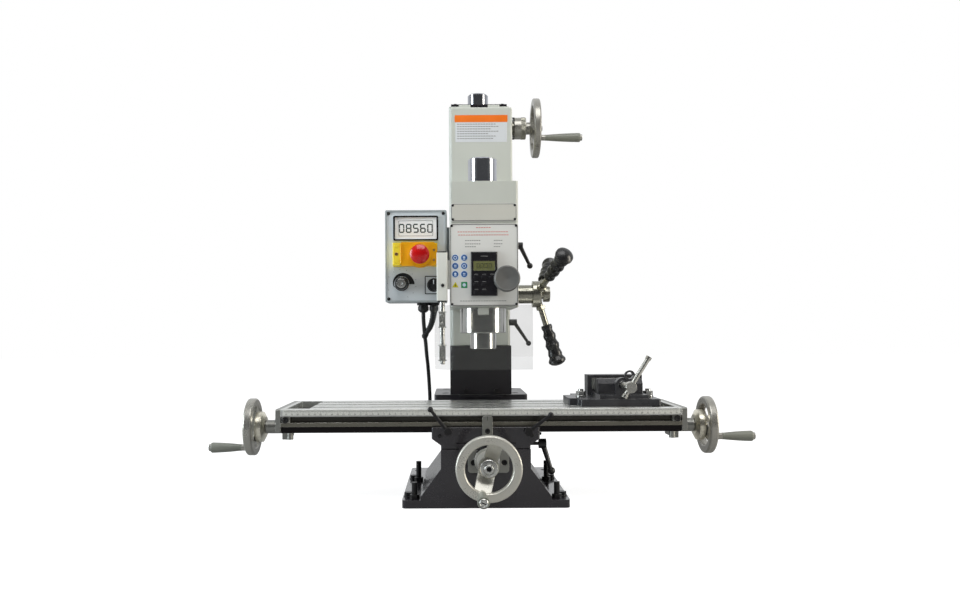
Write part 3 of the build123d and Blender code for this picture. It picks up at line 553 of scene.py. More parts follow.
yellow = glossy("yellow_plastic", srgb(246, 178, 8), 0.32, 0.06, 0.1, patch=30, coat=0.2)
yellow_tab = glossy("yellow_tab", srgb(255, 226, 60), 0.34, 0.05, 0.1, patch=30, coat=0.2)
red = glossy("red_plastic", srgb(205, 4, 8), 0.28, 0.06, 0.06, patch=40, coat=0.3)
scale_metal = finish(
    "scale_strip", srgb(228, 228, 221), 0.34, metal=0.35, tint=0.05, patch=12, grain=80, bump=0.06,
    stretch=(0.6, 20, 20),
)
white_plate = finish(
    "plate_white", srgb(203, 202, 193), 0.36, tint=0.025, patch=14, grain=1100, bump=0.07,
)
panel_film = finish(
    "panel_film", srgb(222, 222, 218), 0.4, tint=0.03, patch=14, grain=1300, bump=0.08,
)
print_black = glossy("print_black", srgb(26, 26, 28), 0.45, 0.15, 0.1)
print_grey = glossy("print_grey", srgb(128, 128, 126), 0.5, 0.12, 0.1)
print_red = glossy("print_red", srgb(206, 128, 120), 0.5, 0.1, 0.1)
print_blue = glossy("print_blue", srgb(38, 92, 158), tint=0.12, patch=80)
print_pale = glossy("print_pale", srgb(206, 220, 236), tint=0.05)
print_yellow = glossy("print_yellow", srgb(206, 196, 36), tint=0.08)
print_green = glossy("print_green", srgb(40, 140, 84))
label_orange = finish("label_orange", srgb(240, 116, 22), 0.4, tint=0.05, grain=1300, bump=0.06)
label_white = finish("label_white", srgb(214, 217, 220), 0.4, tint=0.03, grain=1300, bump=0.06)
lcd_light = glossy("lcd_light", srgb(253, 255, 255), 0.16, 0.03, 0.03, patch=25, coat=0.4)
lcd_ink = glossy("lcd_ink", srgb(52, 66, 64), 0.4, bump=0.05)
lcd_olive = glossy("lcd_olive", srgb(112, 114, 74), 0.18, 0.08, 0.03, patch=30, coat=0.4)
display_black = glossy("display_black", srgb(27, 25, 29), 0.2, 0.15, 0.05, patch=30, coat=0.4)
knob_grey = finish(
    "knob_grey", srgb(98, 98, 96), 0.42, tint=0.07, patch=60, grain=900, bump=0.12,
    wear=srgb(140, 140, 136), wear_width=0.5,
)
vise_paint = finish(
    "vise_black", srgb(48, 48, 51), 0.34, tint=0.2, patch=60, grain=500, bump=0.3, coat=0.2,
    wear=srgb(150, 150, 148), wear_width=0.8,
)
bronze = finish("nut_bronze", srgb(176, 140, 84), 0.35, metal=0.9, tint=0.08, grain=700, bump=0.15)
clear = clear_finish("clear_plastic", srgb(100, 102, 99), 0.86, 0.06)
warm_steel = finish(
    "warm_steel", srgb(150, 148, 136), 0.3, metal=0.85, tint=0.06, grain=700, bump=0.12,
    wear=srgb(200, 198, 186), wear_width=0.5,
)


def turned_steel(name, node_name, axis, tone=steel_tone, rough=0.2, bump=0.1):
    """Steel with lathe marks about the middle of a node."""
    centre = spot(node_name)
    return finish(
        name, tone, rough, metal=1.0, tint=0.04, rough_spread=0.05, grain=900, bump=bump,
        turned=(axis, tuple(centre)), wear_width=0.4,
    )


quill_steel = turned_steel("quill_steel", "quill", UP, rough=0.16)
spindle_steel = turned_steel("spindle_steel", "spindle", UP, rough=0.16)
cap_chrome = turned_steel("cap_chrome", "drawbar_cap", UP, srgb(196, 198, 204), 0.1, 0.04)
screw_cap_chrome = turned_steel(
    "screw_cap_chrome", "leadscrew_cap", UP, srgb(176, 178, 184), 0.14, 0.04,
)
# A pale cream copy of the dial steel for the X dials: painted reflection, making up for the dark
# room they reflect.
x_dial_steel_painted_sheen = turned_steel("x_dial_steel_painted_sheen", "x_dials", RIGHT, srgb(244, 239, 222), 0.3)
y_dial_steel = turned_steel("y_dial_steel", "y_dial", FRONT)
hub_steel = turned_steel("hub_steel", "feed_hub", RIGHT, srgb(158, 156, 144), 0.26)
thread_x, thread_y, thread_z = (
    finish(f"thread_{axis}", steel_tone, 0.3, metal=1.0, bump=0.9, thread=(index, 2.0))
    for index, axis in enumerate("xyz")
)
vise_thread = finish("vise_thread", srgb(214, 212, 204), 0.22, metal=1.0, bump=0.5, thread=(1, 3.0))

column_paint = finish(
    "column_paint", srgb(197, 200, 192), 0.36, tint=0.025, patch=12, grain=700, bump=0.14,
    coat=0.15, wear=srgb(150, 152, 148), wear_width=1.0, foot=(0.1753, srgb(50, 48, 52)),
)

CAD_FINISH = {
    "base_casting": enamel, "base_fixings": dark_steel, "column": column_paint,
    "column_top_plate": enamel, "leadscrew_cap": screw_cap_chrome, "y_screw_bracket": bracket_steel,
    "way_cover": rubber, "z_wheel_bearing": warm_steel, "z_leadscrew": thread_z,
    "z_wheel_shaft": warm_steel, "z_handwheel": wheel_finish, "z_grip": grip_grey,
    "saddle_casting": enamel, "saddle_pointer": bracket_steel, "leadscrew_nuts": bronze,
    "x_lock_left": dark_steel, "x_lock_right": dark_steel, "y_lock_lever": moulded,
    "table": ground_table, "table_scale": scale_metal, "table_end_brackets": bracket_steel,
    "table_stops": bracket_steel, "x_leadscrew": thread_x, "x_handwheels": wheel_finish,
    "x_dials": x_dial_steel_painted_sheen, "x_grip_left": grip_grey, "x_grip_right": grip_grey,
    "y_leadscrew": thread_y, "y_handwheel": lit_front_wheel_finish, "y_dial": y_dial_steel,
    "y_grip": grip_grey, "head_slide": head_paint, "head_casting": head_paint,
    "front_plates": panel_film, "depth_display": display_black, "motor_cover": head_paint,
    "spindle_motor": dark_steel, "drawbar_cap": cap_chrome, "control_box": box_paint,
    "control_box_lid": lid_paint_with_painted_light, "estop_housing": yellow_tab, "estop_cover": yellow,
    "estop_button": red, "selector_knob": moulded, "quill_lock_lever": dark_steel,
    "head_lock_lever": dark_steel, "guard_arm": arm_paint, "guard_rod": bright_screw,
    "guard_shield": clear, "quill": quill_steel, "spindle": spindle_steel,
    "feed_hub": hub_steel, "vise_body": vise_paint, "vise_jaw": vise_paint,
    "vise_screw": vise_thread, "vise_bolts": bright_screw,
}
for name, material in CAD_FINISH.items():
    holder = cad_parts[name]
    holder.data.materials.clear()
    holder.data.materials.append(material)


# ---- Handwheels and dials ----
def dial_marks(bm, place, radius, low, long, count, figures=0):
    """Graduations around a dial: fine lines, longer fifths, and figures at the tenths."""
    for k in range(count):
        angle = 2 * pi * k / count
        length = long if k % 10 == 0 else long * (0.72 if k % 5 == 0 else 0.45)
        around = place @ Matrix.Rotation(angle, 4, "Z")
        side = around @ Matrix.Translation((radius * MM, 0, low * MM))
        side = side @ Matrix.Rotation(pi / 2, 4, "Y")
        bar(bm, side, length, 0.34, -0.3, 0.06, x=-length / 2)
        if figures and k % 10 == 0:
            turned = side @ Matrix.Rotation(-pi / 2, 4, "Z")
            digits(bm, shifted(turned, y=-(long + 2.2) * figures), str(k // 10), 2.4, -0.3, 0.06)


def wheel_nut(bm, place, radius):
    """A washer and a domed nut with a hexagon body."""
    flats = radius * 0.72
    lathe(bm, place, ((0, 0), (radius, 0), (radius, 1.2), (radius * 0.94, 1.6), (flats, 1.6)), 36)
    lathe(
        bm,
        place,
        (
            (flats, 1.6, 6), (flats, 6.4, 6), (flats * 0.92, 7.2), (flats * 0.8, 8.4),
            (flats * 0.45, 9.6), (0, 10),
        ),
        36,
    )


def pin_cap(bm, place, turn):
    """The slotted head at the end of a handle bolt, its slot near black as painted shade."""
    outline = ((0, -0.3), (6.7, -0.3), (6.7, 0.5), (6.0, 1.1), (5.2, 1.2), (4.9, 0.9), (0, 0.9))
    lathe(bm, place, outline, 32)
    bar(bm, place @ Matrix.Rotation(turn, 4, "Z"), 8.4, 1.5, 0.6, 0.98, material=1)


table_lo, table_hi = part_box("table")
screw_lo, screw_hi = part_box("x_leadscrew")
x_centre = spot("x_leadscrew")
dial_lo, dial_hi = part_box("x_dials")
dial_radius = (dial_hi.z - dial_lo.z) / 2 / MM
wheel_lo, wheel_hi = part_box("x_handwheels")

bm = bmesh.new()
for side, normal in ((dial_hi.x, RIGHT), (dial_lo.x, LEFT)):
    dial_marks(bm, facing((side, x_centre.y, x_centre.z), normal), dial_radius, -10.8, 5.5, 100)
piece("x_dial_marks", bm, [print_black], "x_screw")

bm = bmesh.new()
for side, normal in ((screw_hi.x, RIGHT), (screw_lo.x, LEFT)):
    wheel_nut(bm, shifted(facing((side, x_centre.y, x_centre.z), normal), z=0.6), 14)
piece("x_wheel_nuts", bm, [bright_screw], "x_screw")

bm = bmesh.new()
for grip, end, normal in (("x_grip_right", wheel_hi.x, RIGHT), ("x_grip_left", wheel_lo.x, LEFT)):
    middle = spot(grip)
    pin_cap(bm, facing((end, middle.y, middle.z), normal), 0.7)
piece("x_handle_caps", bm, [bright_screw, recess_shade_and_ink], "x_screw")

y_dial_lo, y_dial_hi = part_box("y_dial")
y_centre = spot("y_dial")
y_radius = (y_dial_hi.z - y_dial_lo.z) / 2 / MM
y_wheel_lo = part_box("y_handwheel")[0]
y_face = facing((y_centre.x, y_dial_lo.y, y_centre.z), FRONT)
bm = bmesh.new()
dial_marks(bm, y_face, y_radius, -19.8, 5.5, 60, figures=-1)
piece("y_dial_marks", bm, [print_black], "y_screw")

y_hub_front = 238  # distance of the hub's front face from the spindle plane
bm = bmesh.new()
hub = facing((y_centre.x, -y_hub_front * MM, y_centre.z), FRONT)
lathe(
    bm,
    hub,
    (
        (0, -0.2), (14.5, -0.2), (14.5, 2.0), (13.4, 3.0), (9.5, 3.4), (8.8, 2.6), (7.6, 2.6),
        (7.2, 6.2), (6.6, 6.8), (3.9, 6.8, 6),
    ),
    36,
)
# The cap's hexagon socket in near black: painted shade.
lathe(bm, hub, ((3.9, 6.8, 6), (3.5, 6.5, 6), (3.5, 3.6, 6), (0, 3.4)), 36, 1)
piece("y_wheel_cap", bm, [bright_screw, recess_shade_and_ink], "y_screw")

bm = bmesh.new()
grip_middle = spot("y_grip")
pin_cap(bm, facing((grip_middle.x, y_wheel_lo.y, grip_middle.z), FRONT), -0.35)
piece("y_handle_cap", bm, [bright_screw, recess_shade_and_ink], "y_screw")

z_wheel_lo, z_wheel_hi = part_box("z_handwheel")
z_shaft_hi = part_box("z_wheel_shaft")[1]
z_centre = spot("z_wheel_shaft")
z_face = facing((z_wheel_lo.x, z_centre.y, z_centre.z), RIGHT)
collar_radius = 23
bm = bmesh.new()
dial_marks(bm, z_face, collar_radius, 0.6, -6.5, 60, figures=-1)
piece("z_collar_marks", bm, [print_black], "z_wheel")

bm = bmesh.new()
rings = [(collar_radius - 0.4, 14.5)]
for start in (15.0, 23.6):
    rings += [(collar_radius + 0.5, start, "knurl"), (collar_radius + 0.5, start + 0.4, "knurl")]
rings += [(collar_radius - 0.4, 24.4)]
lathe(bm, z_face, rings, 120)
piece("z_collar_knurl", bm, [warm_steel], "z_wheel")

bm = bmesh.new()
wheel_nut(bm, shifted(facing((z_shaft_hi.x, z_centre.y, z_centre.z), RIGHT), z=0.2), 11)
piece("z_wheel_nut", bm, [bright_screw], "z_wheel")

bm = bmesh.new()
grip_middle = spot("z_grip")
pin_cap(bm, facing((z_wheel_hi.x, grip_middle.y, grip_middle.z), RIGHT), 1.1)
piece("z_handle_cap", bm, [bright_screw, recess_shade_and_ink], "z_wheel")

# ---- Table ----
scale_lo, scale_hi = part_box("table_scale")
scale_x, scale_z = (scale_lo.x + scale_hi.x) / 2, (scale_lo.z + scale_hi.z) / 2
scale_face = facing((scale_x, scale_lo.y, scale_z), FRONT)
bm = bmesh.new()
half_count = int((scale_hi.x - scale_lo.x) / MM / 2) - 2
for k in range(-half_count, half_count + 1):
    length = 4.6 if k % 10 == 0 else 3.6 if k % 5 == 0 else 2.3
    bar(bm, scale_face, 0.24, length, -0.1, 0.05, x=k, y=4.2 - length / 2, corner=0.04)
for k in range(-half_count + half_count % 10, half_count, 10):
    value = str(abs(k // 10) % 100)
    digits(bm, shifted(scale_face, x=k, y=-2.4), value, 2.5, -0.1, 0.05)
piece("scale_marks", bm, [print_black], "table")

stop_lo, stop_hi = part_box("table_stops")
stop_z = 151.7 * MM
bm = bmesh.new()
for x in (stop_lo.x + 7 * MM, stop_hi.x - 7 * MM):
    socket_screw(bm, facing((x, stop_lo.y, stop_z), FRONT), 5.6, 1.6)
piece("stop_screw_heads", bm, [dark_steel, recess_shade_and_ink], "table")

bracket_outer = 359  # distance of a bracket's outer face from the table's middle
bracket_screw_z = 147
bm = bmesh.new()
middle_x = (table_lo.x + table_hi.x) / 2
for side, normal in ((1, RIGHT), (-1, LEFT)):
    for y in (-62, 62):
        x = middle_x + side * bracket_outer * MM
        socket_screw(bm, facing((x, y * MM, bracket_screw_z * MM), normal), 6, 5.5)
piece("end_bracket_screws", bm, [dark_steel, recess_shade_and_ink], "table")

# ---- Saddle and base ----
pointer_lo, pointer_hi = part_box("saddle_pointer")
pointer_face = facing(((pointer_lo.x + pointer_hi.x) / 2, pointer_lo.y, pointer_hi.z), FRONT)
bm = bmesh.new()
socket_screw(bm, shifted(pointer_face, y=-26), 4.6, 2.6)
bar(bm, pointer_face, 0.7, 7, -0.1, 0.06, y=-4.6, material=1)
piece("pointer_screw", bm, [dark_steel, recess_shade_and_ink], "saddle")

bracket_front = -120 * MM
bm = bmesh.new()
bracket_ear = 6  # how far the ears' faces lie behind the bracket's front
for x in (-21.5, 31):
    socket_screw(bm, facing((x * MM, bracket_front + bracket_ear * MM, 80 * MM), FRONT), 4.9, 4.8)
piece("y_bracket_screws", bm, [dark_steel, recess_shade_and_ink], "base")

saddle_lo, saddle_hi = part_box("saddle_casting")
bm = bmesh.new()
oiler = ((0, -0.1), (3.4, -0.1), (3.4, 0.5), (2.6, 0.9), (1.5, 0.8), (1.2, 0.3), (0, 0.2))
for x in (
    saddle_lo.x + 14 * MM, saddle_lo.x + 62 * MM, saddle_hi.x - 62 * MM, saddle_hi.x - 14 * MM,
):
    near_middle = abs(x) < 50 * MM
    lathe(bm, facing((x, saddle_lo.y, (112 if near_middle else 124.5) * MM), FRONT), oiler, 24)
piece("saddle_oilers", bm, [dark_steel], "saddle")

bm = bmesh.new()
for y in (-70, -25, 25, 70):
    place = facing((saddle_hi.x, y * MM, 123.5 * MM), RIGHT)
    lathe(bm, place, ((0, -0.1), (4.4, -0.1, 6), (4.4, 2.6, 6), (3.9, 3.1), (2.4, 3.1)), 24)
    lathe(bm, place, ((2.4, 3.0), (2.4, 5.6), (2.0, 6.0), (1.2, 6.0, 6)), 24)
    # The gib screws' hexagon sockets in near black: painted shade.
    lathe(bm, place, ((1.2, 6.0, 6), (1.1, 4.6, 6), (0, 4.6)), 24, 1)
piece("gib_screws", bm, [dark_steel, recess_shade_and_ink], "saddle")

# ---- Column ----
top_lo, top_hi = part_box("column_top_plate")
bm = bmesh.new()
for x in (top_lo.x + 9 * MM, top_hi.x - 9 * MM):
    for y in (top_lo.y + 9 * MM, top_hi.y - 9 * MM):
        socket_screw(bm, facing((x, y, top_hi.z), UP), 4.2, 2.4)
piece("top_plate_screws", bm, [dark_steel, recess_shade_and_ink], "base")

# ---- Head: front plates, readout, label ----
plates_lo, plates_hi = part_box("front_plates")
plates_x = (plates_lo.x + plates_hi.x) / 2
panel_low, panel_high = 349, 495
name_low, name_high = 499, 531
panel_width, name_width = 121, 117
panel = facing((plates_x, plates_lo.y, (panel_low + panel_high) / 2 * MM), FRONT)
name_plate = facing((plates_x, plates_lo.y, (name_low + name_high) / 2 * MM), FRONT)
panel_height = panel_high - panel_low
name_height = name_high - name_low

bm = bmesh.new()
plate(bm, name_plate, rounded(name_width - 4, name_height - 4, 3), -0.1, 0.5, 0.2)
piece("name_plate_face", bm, [white_plate], "head")

bm = bmesh.new()
border(
    bm, name_plate,
    rounded(name_width - 1.6, name_height - 1.6, 4), rounded(name_width - 4, name_height - 4, 3),
    -0.1, 0.3,
)
border(
    bm, panel,
    rounded(panel_width - 1.4, panel_height - 1.4, 4),
    rounded(panel_width - 4.2, panel_height - 4.2, 3), -0.1, 0.3,
)
piece("plate_borders", bm, [print_grey], "head")

bm = bmesh.new()
for place, width, height in (
    (panel, panel_width, panel_height), (name_plate, name_width, name_height),
):
    for sx in (-1, 1):
        for sy in (-1, 1):
            rivet = shifted(place, x=sx * (width / 2 - 3.6), y=sy * (height / 2 - 3.6), z=0.2)
            round_screw(bm, rivet, 2.3, 1.1, turn=0.5 + sx + sy * 0.4)
piece("plate_screws", bm, [dark_steel, recess_shade_and_ink], "head")


def panel_point(x, z):
    """A place on the lower front plate, from millimetres in the row's frame."""
    return shifted(panel, x=x - plates_x / MM, y=z - (panel_low + panel_high) / 2)


PRINT_LOW, PRINT_HIGH = -0.1, 0.12  # heights of printed marks over the plate
bm = bmesh.new()
for x, z, width in ((-1, 488, 27), (-1, 480.5, 92), (-1, 475, 90)):
    for k in range(int(width / 4.5)):
        bar(bm, panel_point(x - width / 2 + 2.2 + 4.5 * k, z), 3.6, 1.5, PRINT_LOW, PRINT_HIGH)
piece("panel_rules_red", bm, [print_red], "head")

bm = bmesh.new()
for z, width in ((465.2, 28), (459.2, 30), (454.2, 20)):
    for k in range(int(width / 4)):
        bar(bm, panel_point(-32 + 4 * k, z), 3.1, 1.4, PRINT_LOW, PRINT_HIGH)
        if k < width / 8:
            bar(bm, panel_point(19 + 4 * k, z), 3.1, 1.4, PRINT_LOW, PRINT_HIGH)
for k in range(18):
    bar(bm, panel_point(-41 + 4.6 * k, 358.2), 3.6, 1.2, PRINT_LOW, PRINT_HIGH)
piece("panel_rules_grey", bm, [print_grey], "head")

bm = bmesh.new()
sign_rows, sign_columns = (434.8, 420.3, 405.8), (-51, -35.3)
for row, z in enumerate(sign_rows):
    for column, x in enumerate(sign_columns):
        place = panel_point(x, z)
        plate(bm, place, disc(6.4), PRINT_LOW, PRINT_HIGH, 0.05, 1)
        plate(bm, place, disc(5.4), PRINT_LOW, PRINT_HIGH + 0.08, 0.05)
        kind = (row * 2 + column) % 3
        if kind == 0:
            border(bm, place, disc(3.2), disc(2.0), 0, PRINT_HIGH + 0.16, 1)
        elif kind == 1:
            plate(bm, place, disc(2.2, y=0.6), 0, PRINT_HIGH + 0.16, 0.05, 1)
            bar(bm, place, 4.4, 1.3, 0, PRINT_HIGH + 0.16, y=-2.7, material=1)
        else:
            bar(bm, place, 4.6, 1.5, 0, PRINT_HIGH + 0.16, y=1.2, material=1)
            bar(bm, place, 4.6, 1.5, 0, PRINT_HIGH + 0.16, y=-1.6, material=1)
piece("panel_signs_blue", bm, [print_blue, print_pale], "head")

bm = bmesh.new()
sign_z = 386.6
triangle = [(6.6 * cos(radians(a)), 6.6 * sin(radians(a)) - 1.0) for a in (90, 210, 330)]
plate(bm, panel_point(sign_columns[0], sign_z), triangle, PRINT_LOW, PRINT_HIGH, 0.05)
bar(bm, panel_point(sign_columns[0], sign_z), 1.3, 4.2, 0, PRINT_HIGH + 0.08, y=-0.6, material=1)
plate(bm, panel_point(sign_columns[1], sign_z), rounded(11, 11, 1), PRINT_LOW, PRINT_HIGH, 0.05, 2)
plate(bm, panel_point(sign_columns[1], sign_z), disc(3.0), 0, PRINT_HIGH + 0.08, 0.05, 3)
piece("panel_signs", bm, [print_yellow, print_black, print_green, print_pale], "head")

display = facing(spot("depth_display", 0.5, 0.0, 0.5), FRONT)
bm = bmesh.new()
border(bm, display, rounded(40.5, 19.5, 1.5, y=14), rounded(38, 17, 0.8, y=14), -0.2, 0.5)
plate(bm, display, rounded(38, 17, 0.8, y=14), -0.2, 0.25, 0.05, 1)
digits(bm, shifted(display, y=14), "0000", 9, 0.2, 0.32, 0.1, 2)
piece("depth_readout", bm, [display_black, lcd_olive, lcd_ink], "head")

bm = bmesh.new()
for row, y in enumerate((-3.5, -16.5, -30)):
    for x in (-14, 0, 14):
        if row and x > 0:
            continue
        plate(bm, display, rounded(9.5, 6, 1.6, x=x, y=y - 2.6), -0.2, 0.9, 0.4)
        bar(bm, display, 7, 0.9, -0.1, 0.14, x=x, y=y + 2.6, material=1)
bar(bm, display, 13, 1.0, -0.1, 0.14, y=31, material=1)
piece("depth_buttons", bm, [display_black, print_grey], "head")

cover_lo, cover_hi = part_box("motor_cover")
label = facing(((cover_lo.x + cover_hi.x) / 2, cover_lo.y, 693 * MM), FRONT)
bm = bmesh.new()
plate(bm, label, rounded(99, 38, 1.5, y=-7), -0.1, 0.22, 0.08)
plate(bm, label, rounded(101.5, 13.6, 1.5, y=19), -0.1, 0.26, 0.08, 1)
for k in range(7):
    width = (76, 82, 66, 80, 62, 78, 70)[k]
    for n in range(int(width / 5)):
        bar(bm, label, 4.0, 1.5, 0, 0.3, x=-44 + 5 * n, y=8.5 - 4.6 * k, material=2)
piece("cover_label", bm, [label_white, label_orange, print_grey], "head")

# ---- Head: knobs and levers ----
knob_lo, knob_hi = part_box("fine_feed_knob")
knob_radius = (knob_hi.z - knob_lo.z) / 2 / MM
knob_face = facing(((knob_lo.x + knob_hi.x) / 2, knob_lo.y, (knob_lo.z + knob_hi.z) / 2), FRONT)
bm = bmesh.new()
lathe(
    bm,
    knob_face,
    (
        (0, -40), (7.5, -40), (7.5, -24.5), (knob_radius - 2, -24), (knob_radius, -22, "knurl"),
        (knob_radius, -2.4, "knurl"), (knob_radius - 1.6, -0.6), (knob_radius - 2.6, 0),
        (knob_radius - 3.4, -0.5), (knob_radius - 3.8, -0.7), (4.2, -0.5), (3.4, -0.9), (0, -0.9),
    ),
    132,
)
fine_knob = piece("fine_feed_dial", bm, [knob_grey], "fine_feed")
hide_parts("fine_feed_knob")

hub_y, hub_z = 40 * MM, 374 * MM
hub_x = 103 * MM
rod_tilt = radians(17)
bm = bmesh.new()
sleeve = facing((61.3 * MM, hub_y, hub_z), RIGHT)
dial_marks(bm, sleeve, 17.5, 31.5, 4.5, 60)
piece("feed_dial_marks", bm, [print_black], "feed_hub")

bm = bmesh.new()
end_knob = facing((115 * MM, hub_y, hub_z), RIGHT)
lathe(
    bm,
    end_knob,
    (
        (8.6, 0.2), (14.2, 0.4), (14.6, 1.6, "knurl"), (14.6, 10.8, "knurl"), (13.6, 12.6),
        (11.5, 13.0), (10.8, 12.4), (0, 12.7),
    ),
    96,
)
piece("feed_clutch_knob", bm, [warm_steel], "feed_hub")

GRIP_PROFILE = (
    (61, 5.7), (61.2, 9.4), (64, 10.6), (68, 10.2), (71, 8.9), (75, 9.4), (81, 12.0), (86, 11.6),
    (90, 10.0), (95, 11.2), (100, 13.4), (105, 12.4), (109, 11.0), (114, 12.4), (119, 13.6),
    (123, 12.6), (126, 14.0), (130, 16.6), (134, 16.4), (138, 12.2), (140.4, 6.0), (141, 0),
)
grips = bmesh.new()
collars = bmesh.new()
for angle in (-90, 30, 150):
    lean = sin(rod_tilt)
    out = cos(rod_tilt)
    away = (lean, out * cos(radians(angle)), out * sin(radians(angle)))
    rod = facing((hub_x, hub_y, hub_z), away)
    lathe(grips, rod, [(r, d) for d, r in GRIP_PROFILE], 36)
    lathe(collars, rod, ((6.2, 24), (8.2, 24, 6), (8.2, 30, 6), (6.2, 31)), 36)
feed_grips = piece("feed_grip_set", grips, [moulded], "feed_hub")
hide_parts("feed_grips")
piece("feed_rod_nuts", collars, [warm_steel], "feed_hub")

# ---- Guard ----
arm_lo, arm_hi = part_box("guard_arm")
arm_inner_x = -65 * MM  # the head's side, where the arm starts
arm_x, arm_y = (arm_lo.x + arm_inner_x) / 2, -60 * MM
bm = bmesh.new()
for z, normal in ((arm_hi.z, UP), (arm_lo.z, DOWN)):
    place = facing((arm_x, arm_y, z), normal)
    plate(bm, place, rounded(17, 20, 2.5), -0.1, 2.2, 0.6)
dot = facing((arm_x + 1 * MM, arm_lo.y, arm_lo.z + 27 * MM), FRONT)
lathe(bm, dot, ((0, -0.2), (3.0, -0.2), (3.0, 1.2), (2.2, 2.0), (0, 2.2)), 24)
piece("guard_arm_caps", bm, [moulded], "head")

rod_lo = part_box("guard_rod")[0]
bm = bmesh.new()
for low in (253, 312):
    for height in (6, 21):
        place = facing((-75 * MM, rod_lo.y, (low + height) * MM), FRONT)
        round_screw(bm, place, 2.6, 1.6, turn=0.4 * height)
    for height in (0.6, 26.4):
        place = facing((-74.5 * MM, -60 * MM, (low + height) * MM), UP if height > 9 else DOWN)
        lathe(bm, place, ((4.6, -0.4), (7.4, -0.4), (7.4, 1.0), (6.8, 1.6), (4.6, 1.6)), 30)
piece("guard_clamp_fittings", bm, [bright_screw, recess_shade_and_ink], "guard")

# ---- Control box ----
lid_lo, lid_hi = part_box("control_box_lid")
lid_face_y = 13 * MM
lid_x, lid_z = (lid_lo.x + lid_hi.x) / 2, (lid_lo.z + lid_hi.z) / 2
lid_width, lid_height = (lid_hi.x - lid_lo.x) / MM, (lid_hi.z - lid_lo.z) / MM
lid = facing((lid_x, lid_face_y, lid_z), FRONT)


def lid_point(x, z):
    """A place on the lid from millimetres in the row's frame."""
    return shifted(lid, x=x - lid_x / MM, y=z - lid_z / MM)


bm = bmesh.new()
border(
    bm, lid,
    rounded(lid_width - 0.6, lid_height - 0.6, 4), rounded(lid_width - 6.4, lid_height - 6.4, 3),
    -0.2, 1.4,
)
piece("lid_rim", bm, [box_paint], "head")

bm = bmesh.new()
for sx in (-1, 1):
    for sy in (-1, 1):
        corner = shifted(lid, x=sx * (lid_width / 2 - 6.4), y=sy * (lid_height / 2 - 6.4))
        round_screw(bm, corner, 3.0, 1.9, turn=0.9 + sx * 0.5 + sy)
piece("lid_screws", bm, [dark_steel, recess_shade_and_ink], "head")

bezel = lid_point(-124.25, 497)
bm = bmesh.new()
border(bm, bezel, rounded(84, 46.5, 3), rounded(77.5, 40.5, 1.5), 2.2, 3.2)
piece("readout_frame", bm, [display_black], "head")

bm = bmesh.new()
plate(bm, bezel, rounded(77.5, 40.5, 1.5), -0.4, 0.7, 0.1)
border(bm, bezel, rounded(64, 29, 1.2), rounded(62.6, 27.6, 1), 0.6, 0.9, 1)
digits(bm, bezel, "08560", 17, 0.6, 0.85, 0.14, 2)
piece("speed_readout", bm, [lcd_light, print_grey, lcd_ink], "head")

housing_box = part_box("estop_housing")
tab = facing(((housing_box[0].x + 7 * MM), housing_box[0].y, spot("estop_housing").z), FRONT)
bm = bmesh.new()
round_screw(bm, tab, 3.4, 0.8, turn=0.8)
for sy in (-1, 1):
    plate(bm, shifted(tab, y=sy * 14), rounded(8, 5, 1.4), -0.2, 0.6, 0.3, 2)
piece("estop_tab_screw", bm, [bronze, recess_shade_and_ink, yellow_tab], "head")

bm = bmesh.new()
flange = facing((spot("estop_button").x, -12 * MM, spot("estop_button").z), FRONT)
border(bm, flange, disc(23.6, 44), disc(21.2, 44), -0.2, 1.6)
for sx, sy in ((1, 1), (1, -1)):
    place = shifted(flange, x=sx * 25.5, y=sy * 9)
    lathe(bm, place, ((0, -0.1), (2.4, -0.1), (2.4, 0.6), (1.8, 0.9), (1.2, 0.3), (0, 0.2)), 20, 1)
piece("estop_collar", bm, [yellow, bronze], "estop_cover")

speed = facing((spot("speed_knob").x, lid_face_y, spot("speed_knob").z), FRONT)
bm = bmesh.new()
lathe(
    bm,
    speed,
    (
        (0, 0.3), (13.2, 0.4), (13.4, 2.2), (12.2, 3.2, "knurl"), (11.9, 16.4, "knurl"),
        (11.0, 18.4), (9.0, 19.2), (8.6, 18.9),
    ),
    72,
)
speed_cap = ((8.6, 18.8), (8.4, 19.4), (7.6, 19.7), (2.6, 19.5), (2.2, 19.2), (0, 19.2))
lathe(bm, speed, speed_cap, 72, 1)
bar(bm, speed @ Matrix.Rotation(radians(35), 4, "Z"), 1.0, 3.4, 18.4, 19.35, y=10, material=1)
dial = piece("speed_dial", bm, [moulded, bright_screw], "speed_knob")
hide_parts("speed_knob")

bm = bmesh.new()
inner, outer = [], []
for k in range(25):
    share = k / 24
    angle = radians(205 - 207 * share)
    outer.append(((15.5 + 8.5 * share) * cos(angle), (15.5 + 8.5 * share) * sin(angle)))
    inner.append((14.2 * cos(angle), 14.2 * sin(angle)))
loop = outer + inner[::-1]
skin(bm, [raised(speed, loop, -0.1), raised(speed, loop, 0.12)])
for k in range(11):
    mark = speed @ Matrix.Rotation(radians(115 - 27 * k), 4, "Z")
    bar(bm, mark, 0.6, 1.8, -0.1, 0.1, y=27)
piece("speed_band", bm, [print_black], "head")

switch = facing((spot("selector_knob").x, lid_face_y, spot("selector_knob").z), FRONT)
bm = bmesh.new()
border(bm, switch, rounded(34, 34, 2), rounded(31, 31, 1.4), -0.2, 1.0)
plate(bm, switch, rounded(31, 31, 1.4), -0.2, 0.7, 0.1, 1)
border(bm, switch, disc(12.6, 36), disc(11.0, 36), 0.5, 2.6, 2)
piece("switch_plate", bm, [print_black, lid_paint_with_painted_light, dark_steel], "head")

bm = bmesh.new()
pointer = facing(spot("selector_knob", 0.5, 0.0, 0.5), FRONT)
bar(bm, pointer, 1.3, 8, -0.2, 0.15, y=4.6)
piece("selector_pointer", bm, [label_white], "selector_knob")

